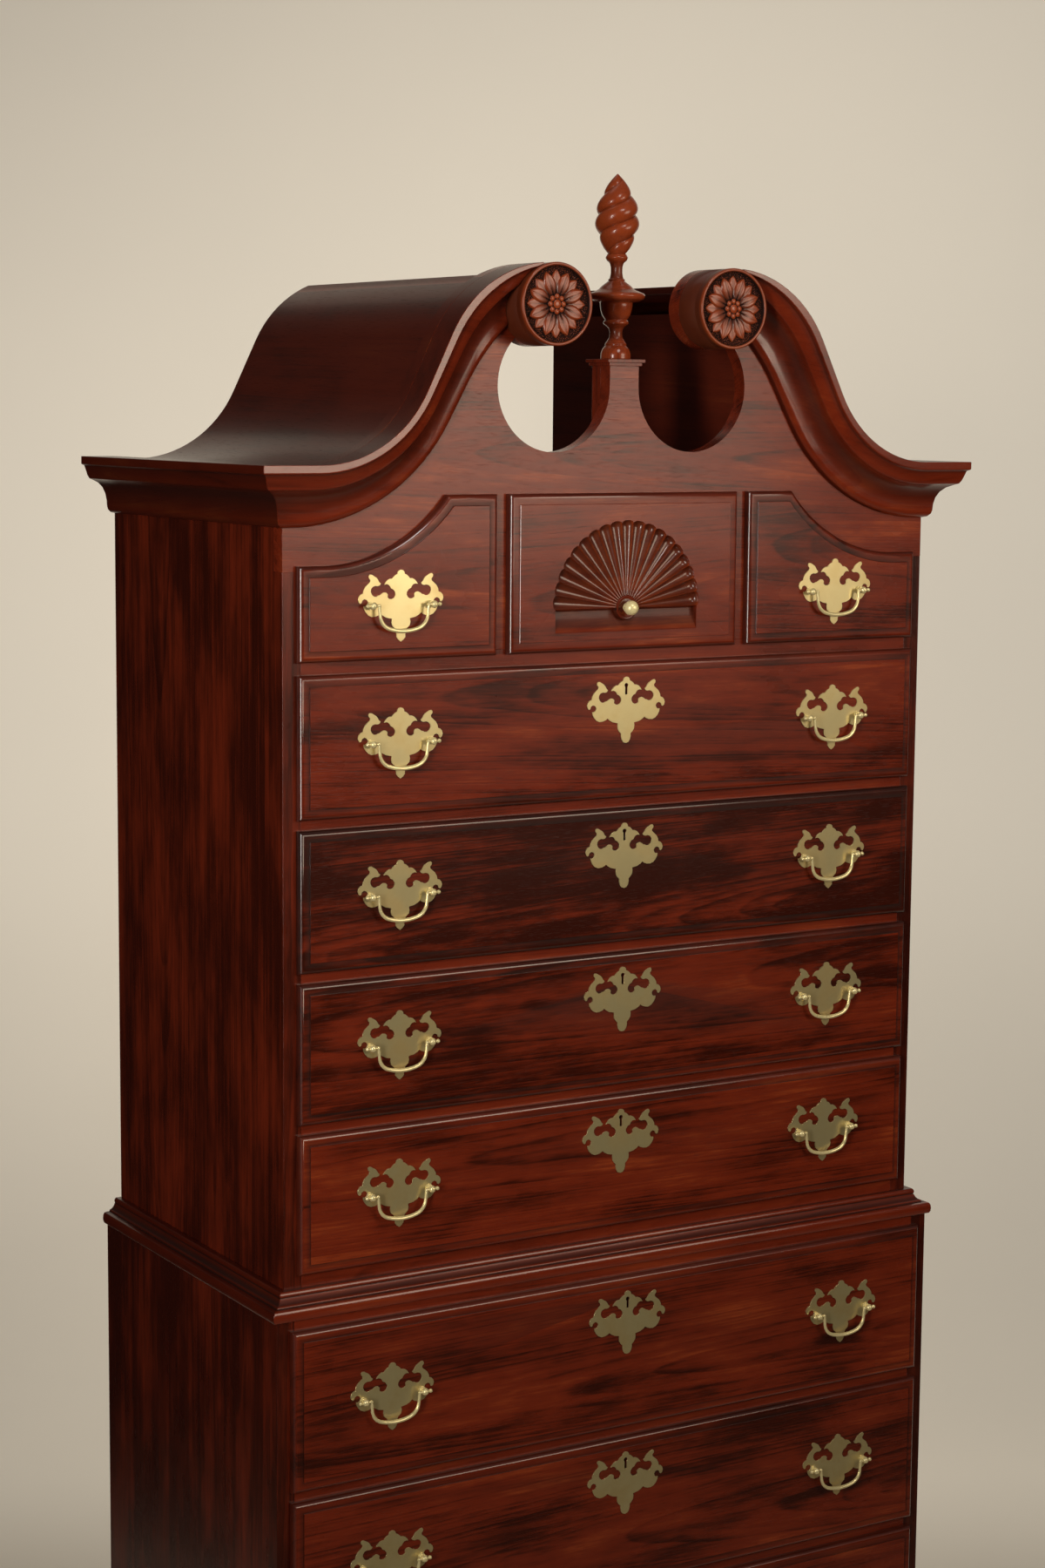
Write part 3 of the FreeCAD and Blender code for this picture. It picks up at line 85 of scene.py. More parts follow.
FINIAL_TALL = 209.0 * MM
FINIAL_DOWEL = 30.0 * MM
DOWEL_RADIUS = 5.9 * MM
FLAME_TALL = 89.7 * MM
FLUTES = 19
FAN_LEVELS = 30
FAN_RISE = 49.0 * MM
FAN_HUB = 12.0 * MM
FAN_SINK = 0.6 * MM
FAN_BOSS = 14.5 * MM
COVE_TOP = 3.0 * MM
COVE_LOW = 27.0 * MM
COVE_DEEP = 8.0 * MM
COVE_LEVELS = 14
RIM_SCALLOP = 3.4 * MM
SCOOP = 8.5 * MM
LIP_STEP = 1.5 * MM
LIP_THICK = 9.5 * MM
LIP_ROUND = 6.0 * MM
LIP_OVERLAP = 6.2 * MM
LIP_DEEP = 12.0 * MM
# Painted shade behind a drawer's face starts this far back and deepens over this run.
SHADE_START = 1.2 * MM
SHADE_RUN = 2.5 * MM
FIELD_INSET = 12.5 * MM
TONES = {"upper_drawer_1": -0.05, "upper_drawer_2": -0.27, "upper_drawer_3": -0.16,
         "lower_drawer_1": -0.08, "top_drawer_right": -0.06}
HOLLOW_HALF = 193.0 * MM
BAIL_HALF = 31.0 * MM
BAIL_DROP = 28.5 * MM
BAIL_BELLY = 60.0 * MM
BELLY_HALF = 18.5 * MM
ARM_ANGLE = math.radians(84)
PIN_RADIUS = 1.6 * MM
PIN_BALL = 2.4 * MM
ROSETTE_RIM = 3.4 * MM
ROSETTE_FLOOR = 5.6 * MM
DRUM_SIDE = ((0.2, -17.16), (1.6, -15.8), (1.8, -14.1), (1.2, -12.4), (0.1, -11.72), (0.0, -5.6),
             (0.0, -1.1), (0.5, -0.35), (1.3, 0.0), (2.5, 0.0), (3.2, -0.4), (3.7, -1.2),
             (3.9, -5.6))
BOSS_FACE = ((0.0, -8.4), (0.0, -1.2), (0.5, -0.2), (1.6, 0.3), (3.0, 0.0), (5.0, -1.0))
SURFACE = {"Color": "Color", "Roughness": "Float", "Height": "Float"}
SOCKETS = {float: "Float", int: "Int", tuple: "Color"}
FULL_TURN = 2 * math.pi
FLOOR_FRONT = -2.0
FLOOR_DROP = 0.5 * MM
WALL_AT = 1.9
WALL_ROUND = 0.7
WALL_TOP = 3.8
STAGE_SIDES = (-1.25, 2.6)
STAGE_MIDDLE = 0.12
LENS = 67.96
CAMERA_ROWS = ((0.854947, 0.059941, -0.515241, -1.870889),
               (-0.518654, 0.114166, -0.847328, -3.060540),
               (0.008033, 0.991652, 0.128694, 1.776102), (0.0, 0.0, 0.0, 1.0))
LIGHTS = (
    ("key", (1.3, -2.9, 2.1), (0.0, 0.0, 1.75), (1.5, 1.3), (1.0, 0.84, 0.66), 75),
    ("fill", (-2.9, -2.3, 2.3), (0.0, 0.0, 1.2), (1.6, 1.2), (1.0, 0.95, 0.88), 90),
    ("top", (0.1, 0.35, 3.4), (0.0, 0.0, 1.5), (1.6, 0.8), (1.0, 0.95, 0.88), 80),
    ("high", (-0.2, -2.4, 3.7), (0.0, 0.0, 1.4), (0.7, 0.5), (1.0, 0.95, 0.88), 60),
    ("strip", (-2.6, -1.9, 1.55), (-0.4, -0.2, 1.4), (0.45, 1.5), (1.0, 0.94, 0.86), 60),
    ("wall", (0.77, 0.41, 3.5), (1.24, 1.47, 0.75), (2.4, 0.6), (1.0, 0.975, 0.94), 95),
)


def colour_setting(name, text, default):
    """A setting for a colour."""
    return FloatVectorProperty(name=name, description=text, subtype="COLOR", size=3, min=0.0,
                               max=1.0, default=default)


def length_setting(name, text, low, high, default):
    """A setting in metres."""
    return FloatProperty(name=name, description=text, subtype="DISTANCE", unit="LENGTH",
                         min=low, max=high, default=default)


def power_setting(name, text, default):
    """A setting for the power of a light."""
    return FloatProperty(name=name, description=text, subtype="POWER", unit="POWER", min=0.0,
                         max=1000.0, default=default)


class ChestWoodSettings(bpy.types.PropertyGroup):
    """Sizes and colours of the cherry boards."""

    deep: colour_setting("Deep tone", "Colour of the darkest figure", (0.036, 0.0048, 0.0018))
    middle: colour_setting("Middle tone", "Colour of most of the wood", (0.175, 0.02, 0.006))
    light: colour_setting(
        "Light tone", "Colour of the streaks between the dark figure", (0.4, 0.074, 0.017))
    ring: length_setting("Ring width", "Mean width of one growth ring", 0.001, 0.02, 0.0042)
    edge: length_setting(
        "Eased edge", "Width of the worn edge of each board", 0.0001, 0.003, 0.0006)
    field_edge: length_setting(
        "Field edge", "Width of the eased edge of each drawer's field", 0.0001, 0.0014, 0.0009)
    pale: colour_setting(
        "Pale wood", "Colour of the unstained drawer sides and backs", (0.42, 0.27, 0.13))


class ChestBrassSettings(bpy.types.PropertyGroup):
    """Sizes and colours of the cast brasses."""

    bright: colour_setting(
        "Polished brass", "Colour where the brass is rubbed bright", (0.68, 0.59, 0.31))
    dull: colour_setting(
        "Tarnished brass", "Colour where the brass has toned down", (0.52, 0.34, 0.11))
    edge: length_setting(
        "Plate bevel", "Width of the filed edge of each plate", 0.0001, 0.001, 0.0005)
    thin: length_setting(
        "Arm radius", "Radius of a bail where it leaves the posts", 0.0005, 0.002, 0.00175)
    thick: length_setting(
        "Belly radius", "Radius of a bail in the middle of its grip", 0.0005, 0.003, 0.0023)


class ChestCarvingSettings(bpy.types.PropertyGroup):
    """Sizes of the carved rosettes, the fan and the flame."""

    petals: IntProperty(
        name="Petals", description="Petals in each ring of a rosette", min=5, max=16, default=8)
    petal_length: length_setting(
        "Petal length", "Length of a front petal", 0.01, 0.04, 0.0265)
    petal_width: length_setting(
        "Petal width", "Widest width of a front petal", 0.004, 0.03, 0.0168)
    fan_radius: length_setting("Fan radius", "Radius of the fan's rim", 0.05, 0.13, 0.1005)
    fan_depth: length_setting(
        "Fan depth", "Depth of the fan's recess at its rim", 0.003, 0.012, 0.0072)
    flame_radius: length_setting(
        "Flame radius", "Widest radius of the flame", 0.01, 0.05, 0.0254)
    flame_pitch: length_setting(
        "Flame pitch", "Height in which the flame turns once", 0.02, 0.2, 0.0446)
    flame_waist: FloatProperty(
        name="Flame waist", description="Depth that the grooves leave, as a share of the radius",
        subtype="FACTOR", min=0.4, max=1.0, default=0.74)


class ChestStageSettings(bpy.types.PropertyGroup):
    """The room round the chest."""

    floor: colour_setting(
        "Floor colour", "Colour of the plain floor and wall", (0.66, 0.6, 0.5))
    key: power_setting("Key power", "Power of the large soft light on the right", 6.9)
    fill: power_setting("Fill power", "Power of the soft light on the left", 2.0)
    top: power_setting("Overhead power", "Power of the light over the chest", 0.9)
    strip: power_setting("Strip power", "Power of the narrow light on the left", 6.2)
    high: power_setting("High power", "Power of the small light high in front", 2.2)
    wall: power_setting("Wall power", "Power of the light on the wall behind", 7.0)
    glow: FloatProperty(
        name="Wall glow", description="Light that the wall gives of itself", min=0.0, max=2.0,
        default=0.6)
    sky: FloatProperty(
        name="Room strength", description="Strength of the light from the whole room",
        min=0.0, max=5.0, default=0.08)


# Node trees

class Value:
    """What a node gives out; sums with numbers, vectors and other values make more nodes."""

    def __init__(self, graph, socket):
        self.graph = graph
        self.socket = socket

    def __add__(self, other):
        return self.graph.calc("ADD", self, other)

    def __sub__(self, other):
        return self.graph.calc("SUBTRACT", self, other)

    def __rsub__(self, other):
        return self.graph.calc("SUBTRACT", other, self)

    def __mul__(self, other):
        return self.graph.calc("MULTIPLY", self, other)

    def __truediv__(self, other):
        return self.graph.calc("DIVIDE", self, other)

    def __pow__(self, other):
        return self.graph.calc("POWER", self, other)


class Graph:
    """A node tree that is built with sums and short calls."""

    def __init__(self, tree):
        self.tree = tree

    def node(self, kind, inputs=None, **settings):
        """A new node with its settings made and its inputs set or joined."""
        node = self.tree.nodes.new(kind)
        for key, value in settings.items():
            setattr(node, key, value)
        self.feed(node, inputs or {})
        return node

    def feed(self, node, inputs):
        """Sets or joins the inputs of a node, by name or number."""
        for key, value in inputs.items():
            if isinstance(value, Value):
                self.tree.links.new(value.socket, node.inputs[key])
            else:
                node.inputs[key].default_value = value

    def out(self, kind, inputs=None, output=0, **settings):
        """One output of a new node."""
        return Value(self, self.node(kind, inputs, **settings).outputs[output])

    def calc(self, operation, *values, clamp=False):
        """The result of one sum, on vectors where any of its values is a vector."""
        vectors = any(value.socket.type == "VECTOR" if isinstance(value, Value)
                      else isinstance(value, tuple) for value in values)
        node = self.node("ShaderNodeVectorMath" if vectors else "ShaderNodeMath",
                         dict(enumerate(values)), operation=operation)
        if clamp:
            node.use_clamp = True
        single = operation in ("LENGTH", "DOT_PRODUCT")
        return Value(self, node.outputs["Value" if single else 0])

    def between(self, value, low, high, start=0.0, end=1.0):
        """A value carried softly from one range to another and held at its ends."""
        return self.out("ShaderNodeMapRange", {0: value, 1: low, 2: high, 3: start, 4: end},
                        interpolation_type="SMOOTHSTEP")

    def noise(self, vector, scale, detail=2.0, roughness=0.5):
        """Soft noise from 0 to 1."""
        return self.out("ShaderNodeTexNoise", {"Vector": vector, "Scale": scale,
                                               "Detail": detail, "Roughness": roughness})

    def line_noise(self, value, scale, detail):
        """Soft noise from 0 to 1 along one number."""
        return self.out("ShaderNodeTexNoise", {"W": value, "Scale": scale, "Detail": detail},
                        noise_dimensions="1D")

    def blend(self, factor, low, high):
        """Two colours mixed by a factor."""
        return self.out("ShaderNodeMix", {0: factor, 6: low, 7: high}, 2, data_type="RGBA")

    def give(self, **values):
        """Joins values to the tree's own outputs."""
        self.feed(self.end, values)

    def finish(self, geometry, weld):
        """Ends the tree with real geometry, its seams closed and its material set."""
        shape = self.out("GeometryNodeRealizeInstances", {0: geometry})
        shape = self.out("GeometryNodeMergeByDistance", {"Geometry": shape, "Distance": weld})
        shape = self.out("GeometryNodeSetShadeSmooth", {0: shape})
        self.give(Geometry=self.out("GeometryNodeSetMaterial", {
            "Geometry": shape, "Material": self.given["Material"]}))


def new_graph(name, kind, inputs, outputs):
    """An empty node group; a default value or a word gives the kind of each socket."""
    tree = bpy.data.node_groups.new(name, kind)
    for label, default in inputs.items():
        word = default if isinstance(default, str) else SOCKETS[type(default)]
        item = tree.interface.new_socket(name=label, in_out="INPUT",
                                         socket_type="NodeSocket" + word)
        if word != default:
            item.default_value = default
    for label, word in outputs.items():
        tree.interface.new_socket(name=label, in_out="OUTPUT", socket_type="NodeSocket" + word)
    graph = Graph(tree)
    start = tree.nodes.new("NodeGroupInput")
    graph.given = {socket.name: Value(graph, socket) for socket in start.outputs if socket.name}
    graph.end = tree.nodes.new("NodeGroupOutput")
    return graph


def shape_graph(name, **inputs):
    """An empty tree that works on geometry and ends with a material."""
    sockets = {"Geometry": "Geometry"}
    sockets.update({label.replace("_", " "): value for label, value in inputs.items()})
    graph = new_graph(name, "GeometryNodeTree", dict(sockets, Material="Material"),
                      {"Geometry": "Geometry"})
    graph.tree.is_modifier = True
    return graph


def figure_group():
    """Growth rings, streaks, clouds and pores from a position inside a log."""
    graph = new_graph("Wood figure", "ShaderNodeTree",
                      {"Place": "Vector", "Ring Width": 0.004, "Wander": 0.012},
                      dict.fromkeys(("Rings", "Streaks", "Clouds", "Pores", "Fibres"), "Float"))
    place = graph.given["Place"]
    wave = graph.noise(place * (1.6, 7.0, 7.0), 1.0)
    ripple = graph.noise(place * (9.0, 40.0, 40.0), 1.0)
    across = graph.calc("LENGTH", place * (0.0, 1.0, 1.0))
    reach = across + (wave - 0.5) * graph.given["Wander"] + (ripple - 0.5) * 0.0022
    count = reach / graph.given["Ring Width"]
    count = count + graph.line_noise(count, 0.37, 1.0) * 3.0
    part = graph.calc("FRACT", count)
    strength = graph.line_noise(graph.calc("FLOOR", count), 0.81, 0.0)
    graph.give(
        Rings=(part ** 1.7 * graph.between(part, 0.86, 1.0, 1.0, 0.0)
               * graph.between(strength, 0.3, 0.7, 0.45, 1.0)),
        Streaks=graph.between(graph.noise(place * (2.6, 52.0, 52.0), 1.0, 6.0, 0.66), 0.34, 0.68),
        Clouds=graph.noise(place * (5.2, 14.0, 14.0), 1.0, 4.0, 0.6),
        Pores=graph.between(graph.noise(place * (52.0, 1500.0, 1500.0), 1.0, 1.0), 0.6, 0.74),
        Fibres=graph.noise(place * (22.0, 420.0, 420.0), 1.0, 4.0, 0.62))


def tint_group():
    """The wood's colour, roughness and height from its figure, its board, and its dark glazing
    with painted shade.
    """
    graph = new_graph(
        "Stained wood", "ShaderNodeTree",
        {"Place": "Vector", "Tone": 0.0, "Glaze": 0.0, "Ring Width": 0.004,
         "Deep": (0.02, 0.005, 0.003, 1.0), "Middle": (0.07, 0.016, 0.007, 1.0),
         "Light": (0.16, 0.04, 0.015, 1.0), "Shine": 0.28, "Contrast": 0.7}, SURFACE)
    given = graph.given
    figure = graph.node("ShaderNodeGroup", node_tree=bpy.data.node_groups["Wood figure"])
    graph.feed(figure, {label: given[label] for label in ("Place", "Ring Width")})
    rings, streaks, clouds, pores, fibres = (Value(graph, socket) for socket in figure.outputs)
    lightness = (streaks * 0.42 - 0.5 + graph.between(clouds, 0.3, 0.7) * 0.55 - rings * 0.42
                 + graph.between(fibres, 0.3, 0.7) * 0.2)
    lightness = lightness * given["Contrast"] + 0.37 + given["Tone"]
    colour = graph.blend(graph.between(lightness, -0.1, 0.5), given["Deep"], given["Middle"])
    colour = graph.blend(graph.between(lightness, 0.45, 1.15), colour, given["Light"])
    colour = graph.blend(pores * 0.35, colour, given["Deep"])
    # Painted shade: the near-black colour below is mixed in where the glazing-and-shade mark is
    # high.
    glaze_shade_mix = graph.calc("MULTIPLY", given["Glaze"], 0.86, clamp=True)
    rough = clouds * 0.12 + given["Shine"] + pores * 0.18
    graph.give(Color=graph.blend(glaze_shade_mix, colour, (0.009, 0.003, 0.0018, 1.0)),
               Roughness=graph.calc("MULTIPLY_ADD", given["Glaze"], 0.3, rough, clamp=True),
               Height=fibres * 0.35 - pores * 0.6 - rings * 0.3)


def brass_group():
    """Tarnish, roughness and fine dents of old cast brass."""
    graph = new_graph("Old brass", "ShaderNodeTree",
                      {"Place": "Vector", "Bright": (0.84, 0.66, 0.38, 1.0),
                       "Dull": (0.56, 0.39, 0.17, 1.0), "Base Roughness": 0.25}, SURFACE)
    given = graph.given
    wide = graph.noise(given["Place"], 26.0, 3.0, 0.55)
    fine = graph.noise(given["Place"], 240.0, 4.0, 0.6)
    specks = graph.between(graph.noise(given["Place"], 900.0), 0.62, 0.75)
    tone = fine * 0.08 + graph.between(wide, 0.35, 0.8, 0.0, 0.45)
    colour = graph.blend(tone, given["Bright"], given["Dull"])
    graph.give(Color=graph.blend(specks * 0.12, colour, (0.16, 0.09, 0.035, 1.0)),
               Roughness=tone * 0.16 + given["Base Roughness"] + specks * 0.08,
               Height=wide * 0.9 + fine * 0.05)


def ring_tree():
    """Copies of a shape set round a centre in the plane of the front."""
    graph = shape_graph("Ring of copies", Count=8, First_Angle=0.0, Step_Angle=0.5,
                        Centre="Vector")
    given = graph.given
    angle = graph.out("GeometryNodeInputIndex") * given["Step Angle"] + given["First Angle"]
    points = graph.out("GeometryNodePoints", {"Count": given["Count"],
                                              "Position": given["Centre"]})
    euler = graph.out("ShaderNodeCombineXYZ", {1: angle * -1.0})
    turn = graph.out("FunctionNodeEulerToRotation", {0: euler})
    copies = graph.out("GeometryNodeInstanceOnPoints", {
        "Points": points, "Instance": given["Geometry"], "Rotation": turn})
    graph.finish(copies, 0.0)


def flame_tree():
    """Two round strands twisted about each other inside an egg-shaped outline."""
    graph = shape_graph("Twisted flame", Height=0.09, Radius=0.025, Pitch=0.045, Lead=0.175,
                        Waist=0.77, Around=97, Levels=91, Foot="Vector")
    given = graph.given
    grid = graph.out("GeometryNodeMeshGrid", {0: 1.0, 1: 1.0, 2: given["Around"],
                                              3: given["Levels"]})
    place = graph.node("ShaderNodeSeparateXYZ", {0: graph.out("GeometryNodeInputPosition")})
    angle = (Value(graph, place.outputs[0]) + 0.5) * FULL_TURN
    share = Value(graph, place.outputs[1]) + 0.5
    outline = graph.node("ShaderNodeFloatCurve", {1: share})
    curve = outline.mapping.curves[0]
    while len(curve.points) < len(FLAME_SHARES):
        curve.points.new(0.5, 0.5)
    for point, spot in zip(curve.points, FLAME_SHARES):
        point.location = spot
    outline.mapping.update()
    turn = (share * given["Height"] / given["Pitch"] + given["Lead"]) * FULL_TURN
    lobe = graph.calc("ABSOLUTE", graph.calc("COSINE", angle - turn)) ** 0.52
    body = lobe * (1.0 - given["Waist"]) + given["Waist"]
    radius = Value(graph, outline.outputs[0]) * body * given["Radius"]
    spot = graph.out("ShaderNodeCombineXYZ", {0: radius * graph.calc("COSINE", angle),
                                              1: radius * graph.calc("SINE", angle),
                                              2: share * given["Height"]})
    shaped = graph.out("GeometryNodeSetPosition", {"Geometry": grid,
                                                   "Position": spot + given["Foot"]})
    graph.finish(shaped, 0.00001)


def rod_tree():
    """A round rod along a path, thin at its ends and thick in its middle."""
    graph = shape_graph("Swelled rod", Thin=0.0014, Thick=0.002, Samples=64, Around=14)
    given = graph.given
    path = graph.out("GeometryNodeMeshToCurve", {0: given["Geometry"]})
    path = graph.out("GeometryNodeResampleCurve", {"Curve": path, "Count": given["Samples"]})
    share = graph.out("GeometryNodeSplineParameter")
    swell = graph.between(share * (1.0 - share) * 4.0, 0.25, 1.0)
    radius = swell * (given["Thick"] - given["Thin"]) + given["Thin"]
    circle = graph.out("GeometryNodeCurvePrimitiveCircle", {"Resolution": given["Around"],
                                                            "Radius": 1.0})
    rod = graph.out("GeometryNodeCurveToMesh", {"Curve": path, "Profile Curve": circle,
                                                "Scale": radius, "Fill Caps": True})
    graph.finish(rod, 0.000001)


def ground_tree():
    """Small grains scattered over a face, as a punch leaves them."""
    graph = shape_graph("Punched ground", Spacing=0.0016, Grain=0.0007, Seed=7)
    given = graph.given
    spread = graph.out("GeometryNodeDistributePointsOnFaces", {
        "Mesh": given["Geometry"], "Distance Min": given["Spacing"], "Density Max": 600000.0,
        "Seed": given["Seed"]}, distribute_method="POISSON")
    grain = graph.out("GeometryNodeMeshIcoSphere", {"Radius": given["Grain"],
                                                    "Subdivisions": 1})
    sizes = graph.out("FunctionNodeRandomValue", {2: 0.6, 3: 1.3, "Seed": given["Seed"]}, 1)
    copies = graph.out("GeometryNodeInstanceOnPoints", {"Points": spread, "Instance": grain,
                                                        "Scale": sizes})
    copies = graph.out("GeometryNodeRealizeInstances", {0: copies})
    # The punched grains carry only part of the dark painted-shade mark, so they stand out lighter
    # than the floor.
    shaded = graph.out("GeometryNodeStoreNamedAttribute", {
        "Geometry": copies, "Name": "glaze", "Value": 0.35}, data_type="FLOAT", domain="POINT")
    both = graph.node("GeometryNodeJoinGeometry", {0: shaded})
    graph.feed(both, {0: given["Geometry"]})
    graph.finish(Value(graph, both.outputs[0]), 0.0)


def worked(obj, tree, **values):
    """The object's mesh after a tree has worked on it, with the tree's inputs set by name."""
    modifier = obj.modifiers.new(tree.name, "NODES")
    modifier.node_group = tree
    sockets = {item.name: item.identifier for item in tree.interface.items_tree
               if item.item_type == "SOCKET" and item.in_out == "INPUT"}
    for name, value in values.items():
        modifier[sockets[name.replace("_", " ")]] = value
    return baked(obj)


def shader(name):
    """A new material, the graph of its nodes and its shader node."""
    material = bpy.data.materials.new(name)
    material.use_nodes = True
    tree = material.node_tree
    return material, Graph(tree), tree.nodes["Principled BSDF"]


def dressed(name, group, inputs, relief, depth, **settings):
    """A material with the colour, roughness and height that a node group gives."""
    _, graph, surface = shader(name)
    made = graph.node("ShaderNodeGroup", node_tree=bpy.data.node_groups[group])
    graph.feed(made, inputs(graph))
    colour, rough, height = (Value(graph, socket) for socket in made.outputs)
    bump = graph.out("ShaderNodeBump", {"Height": height, "Strength": relief,
                                        "Distance": depth})
    graph.feed(surface, {"Base Color": colour, "Roughness": rough, "Normal": bump})
    graph.feed(surface, {label.replace("_", " "): value for label, value in settings.items()})


def wood_material(name, tones, ring, shine, coat, contrast, relief):
    """Stained and lacquered wood that follows each board's own grain."""
    def inputs(graph):
        marks = (("Place", "grain", "Vector"), ("Tone", "tone", "Fac"), ("Glaze", "glaze", "Fac"))
        values = {label: graph.out("ShaderNodeAttribute", None, output, attribute_name=mark)
                  for label, mark, output in marks}
        values.update(zip(("Deep", "Middle", "Light"), ((*tone, 1.0) for tone in tones)))
        return dict(values, **{"Ring Width": ring, "Shine": shine, "Contrast": contrast})
    dressed(name, "Stained wood", inputs, relief, 0.0002, Coat_Weight=coat,
            Coat_Roughness=0.12, Specular_IOR_Level=0.25)


def brass_material(name, bright, dull, metallic, rough):
    """Cast brass with a thin uneven tarnish."""
    def inputs(graph):
        place = graph.out("ShaderNodeTexCoord", None, "Object")
        return {"Place": place, "Bright": (*bright, 1.0), "Dull": (*dull, 1.0),
                "Base Roughness": rough}
    dressed(name, "Old brass", inputs, 0.5 * rough, 0.0001, Metallic=metallic)


def plain_material(name, colour, rough, grain, glow):
    """The plain painted surface of the floor and the wall, which glows a little by itself as
    painted light.
    """
    material, graph, surface = shader(name)
    between = graph.between
    place = graph.out("ShaderNodeTexCoord", None, "Object")
    full = (*colour, 1.0)
    low = (*(0.93 * part for part in colour), 1.0)
    rise = graph.out("ShaderNodeSeparateXYZ", {0: place}, 2)
    behind = graph.calc("DOT_PRODUCT", place, (*AHEAD, 0.0))
    aside = graph.calc("DOT_PRODUCT", place, (AHEAD[1], -AHEAD[0], 0.0))
    aside = graph.calc("ABSOLUTE", aside - STAGE_MIDDLE)
    # Painted light: the glow is strongest on the wall behind the chest at middle height, less
    # near the floor and higher up, and fades to the sides.
    share = (between(behind, 0.3, 1.2) * between(rise, 0.0, 1.1, 0.5, 1.0)
             * between(rise, 1.5, 2.8, 1.0, 0.72) * between(aside, 1.3, 2.2, 1.0, 0.12))
    graph.feed(surface, {
        "Base Color": graph.blend(graph.noise(place, grain, 4.0, 0.55), low, full),
        "Roughness": rough, "Specular IOR Level": 0.2, "Emission Strength": glow,
        "Emission Color": graph.blend(share, (0.0, 0.0, 0.0, 1.0), full)})
    return material


# Meshes

def coordinates(mesh):
    """The places of a mesh's vertices as rows of three numbers."""
    flat = np.empty(3 * len(mesh.vertices), dtype=np.float32)
    mesh.vertices.foreach_get("co", flat)
    return flat.reshape(-1, 3).astype(np.float64)


def new_object(name, mesh):
    """A new object in the scene for a mesh."""
    obj = bpy.data.objects.new(name, mesh)
    bpy.context.scene.collection.objects.link(obj)
    return obj


def mesh_from(name, spots, faces):
    """A mesh from lists of places and faces."""
    mesh = bpy.data.meshes.new(name)
    mesh.from_pydata([tuple(spot) for spot in spots], [], [tuple(face) for face in faces])
    mesh.validate()
    return mesh


def solids_of(node):
    """The welded triangles of a CAD node, and the number of the solid that each belongs to."""
    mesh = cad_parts[node].data
    spots = coordinates(mesh)
    corner = np.empty(len(mesh.loops), dtype=np.int64)
    mesh.loops.foreach_get("vertex_index", corner)
    _, first, same = np.unique(np.round(spots / WELD).astype(np.int64), axis=0,
                               return_index=True, return_inverse=True)
    triangles = same.reshape(-1)[corner].reshape(-1, 3)
    unpaired = set()
    numbers = []
    number = 0
    for a, b, c in triangles.tolist():
        numbers.append(number)
        for edge in ((a, b), (b, c), (c, a)):
            if edge[::-1] in unpaired:
                unpaired.discard(edge[::-1])
            else:
                unpaired.add(edge)
        if not unpaired:
            number += 1
    if unpaired:
        numbers = [0] * len(numbers)
    return spots[first], triangles, numbers


def boards_copy(name, node):
    """A copy of a CAD node with its triangles joined up, each board apart from the others."""
    spots, triangles, numbers = solids_of(node)
    places = {}
    rows = []
    owners = []
    faces = []
    for triangle, number in zip(triangles.tolist(), numbers):
        face = []
        for corner in triangle:
            key = (number, corner)
            if key not in places:
                places[key] = len(rows)
                rows.append(spots[corner])
                owners.append(float(number))
            face.append(places[key])
        if len(set(face)) == 3:
            faces.append(face)
    mesh = mesh_from(name, rows, faces)
    owner = mesh.attributes.new("board", "FLOAT", "POINT")
    owner.data.foreach_set("value", owners)
    return new_object(name, mesh)


def reshaped(obj, work):
    """Opens the mesh of a piece for an edit, and closes it again."""
    form = bmesh.new()
    form.from_mesh(obj.data)
    work(form)
    form.to_mesh(obj.data)
    form.free()
    return obj


def flattened(obj):
    """Flat faces that were cut into triangles are made whole."""
    def work(form):
        bmesh.ops.dissolve_degenerate(form, dist=WELD, edges=form.edges)
        bmesh.ops.dissolve_limit(form, angle_limit=FLAT_ANGLE, verts=form.verts,
                                 edges=form.edges)
    return reshaped(obj, work)


def outward(obj):
    """Turns every face of a closed mesh outwards."""
    return reshaped(obj, lambda form: bmesh.ops.recalc_face_normals(form, faces=form.faces))


def softened(obj, angle=EDGE_ANGLE):
    """Smooth shading that breaks where an edge is sharp."""
    obj.data.shade_smooth()
    obj.data.set_sharp_from_angle(angle=angle)
    return obj


def eased(obj, width):
    """Gives a piece's sharp edges a small round and its flat faces flat shading."""
    softened(obj)
    bevel = obj.modifiers.new("Eased edges", "BEVEL")
    bevel.width = width
    bevel.segments = 2
    bevel.limit_method = "ANGLE"
    bevel.angle_limit = EDGE_ANGLE
    bevel.use_clamp_overlap = True
    bevel.miter_outer = "MITER_ARC"
    weigh = obj.modifiers.new("Flat faces", "WEIGHTED_NORMAL")
    weigh.keep_sharp = True
    weigh.weight = 60


def baked(obj):
    """The object's modifiers are made part of its mesh and taken off."""
    graph = bpy.context.evaluated_depsgraph_get()
    mesh = bpy.data.meshes.new_from_object(obj.evaluated_get(graph), depsgraph=graph)
    mesh.name = obj.name
    old = obj.data
    obj.modifiers.clear()
    obj.data = mesh
    bpy.data.meshes.remove(old)
    return obj


def marks(mesh, name):
    """One number for each point of a mesh, or zeros where nothing is written."""
    values = np.zeros(len(mesh.vertices), dtype=np.float32)
    if name in mesh.attributes:
        mesh.attributes[name].data.foreach_get("value", values)
    return values


def marked(obj, name, values):
    """Writes one number for each point of a piece."""
    mesh = obj.data
    place = mesh.attributes.get(name) or mesh.attributes.new(name, "FLOAT", "POINT")
    even = np.zeros(len(mesh.vertices), dtype=np.float32)
    place.data.foreach_set("value", even + np.array(values, dtype=np.float32))
    return obj


def glazed_and_shaded(obj, values):
    """Writes how much dark glazing and painted shade lies at each point of a piece."""
    return marked(obj, "glaze", values)


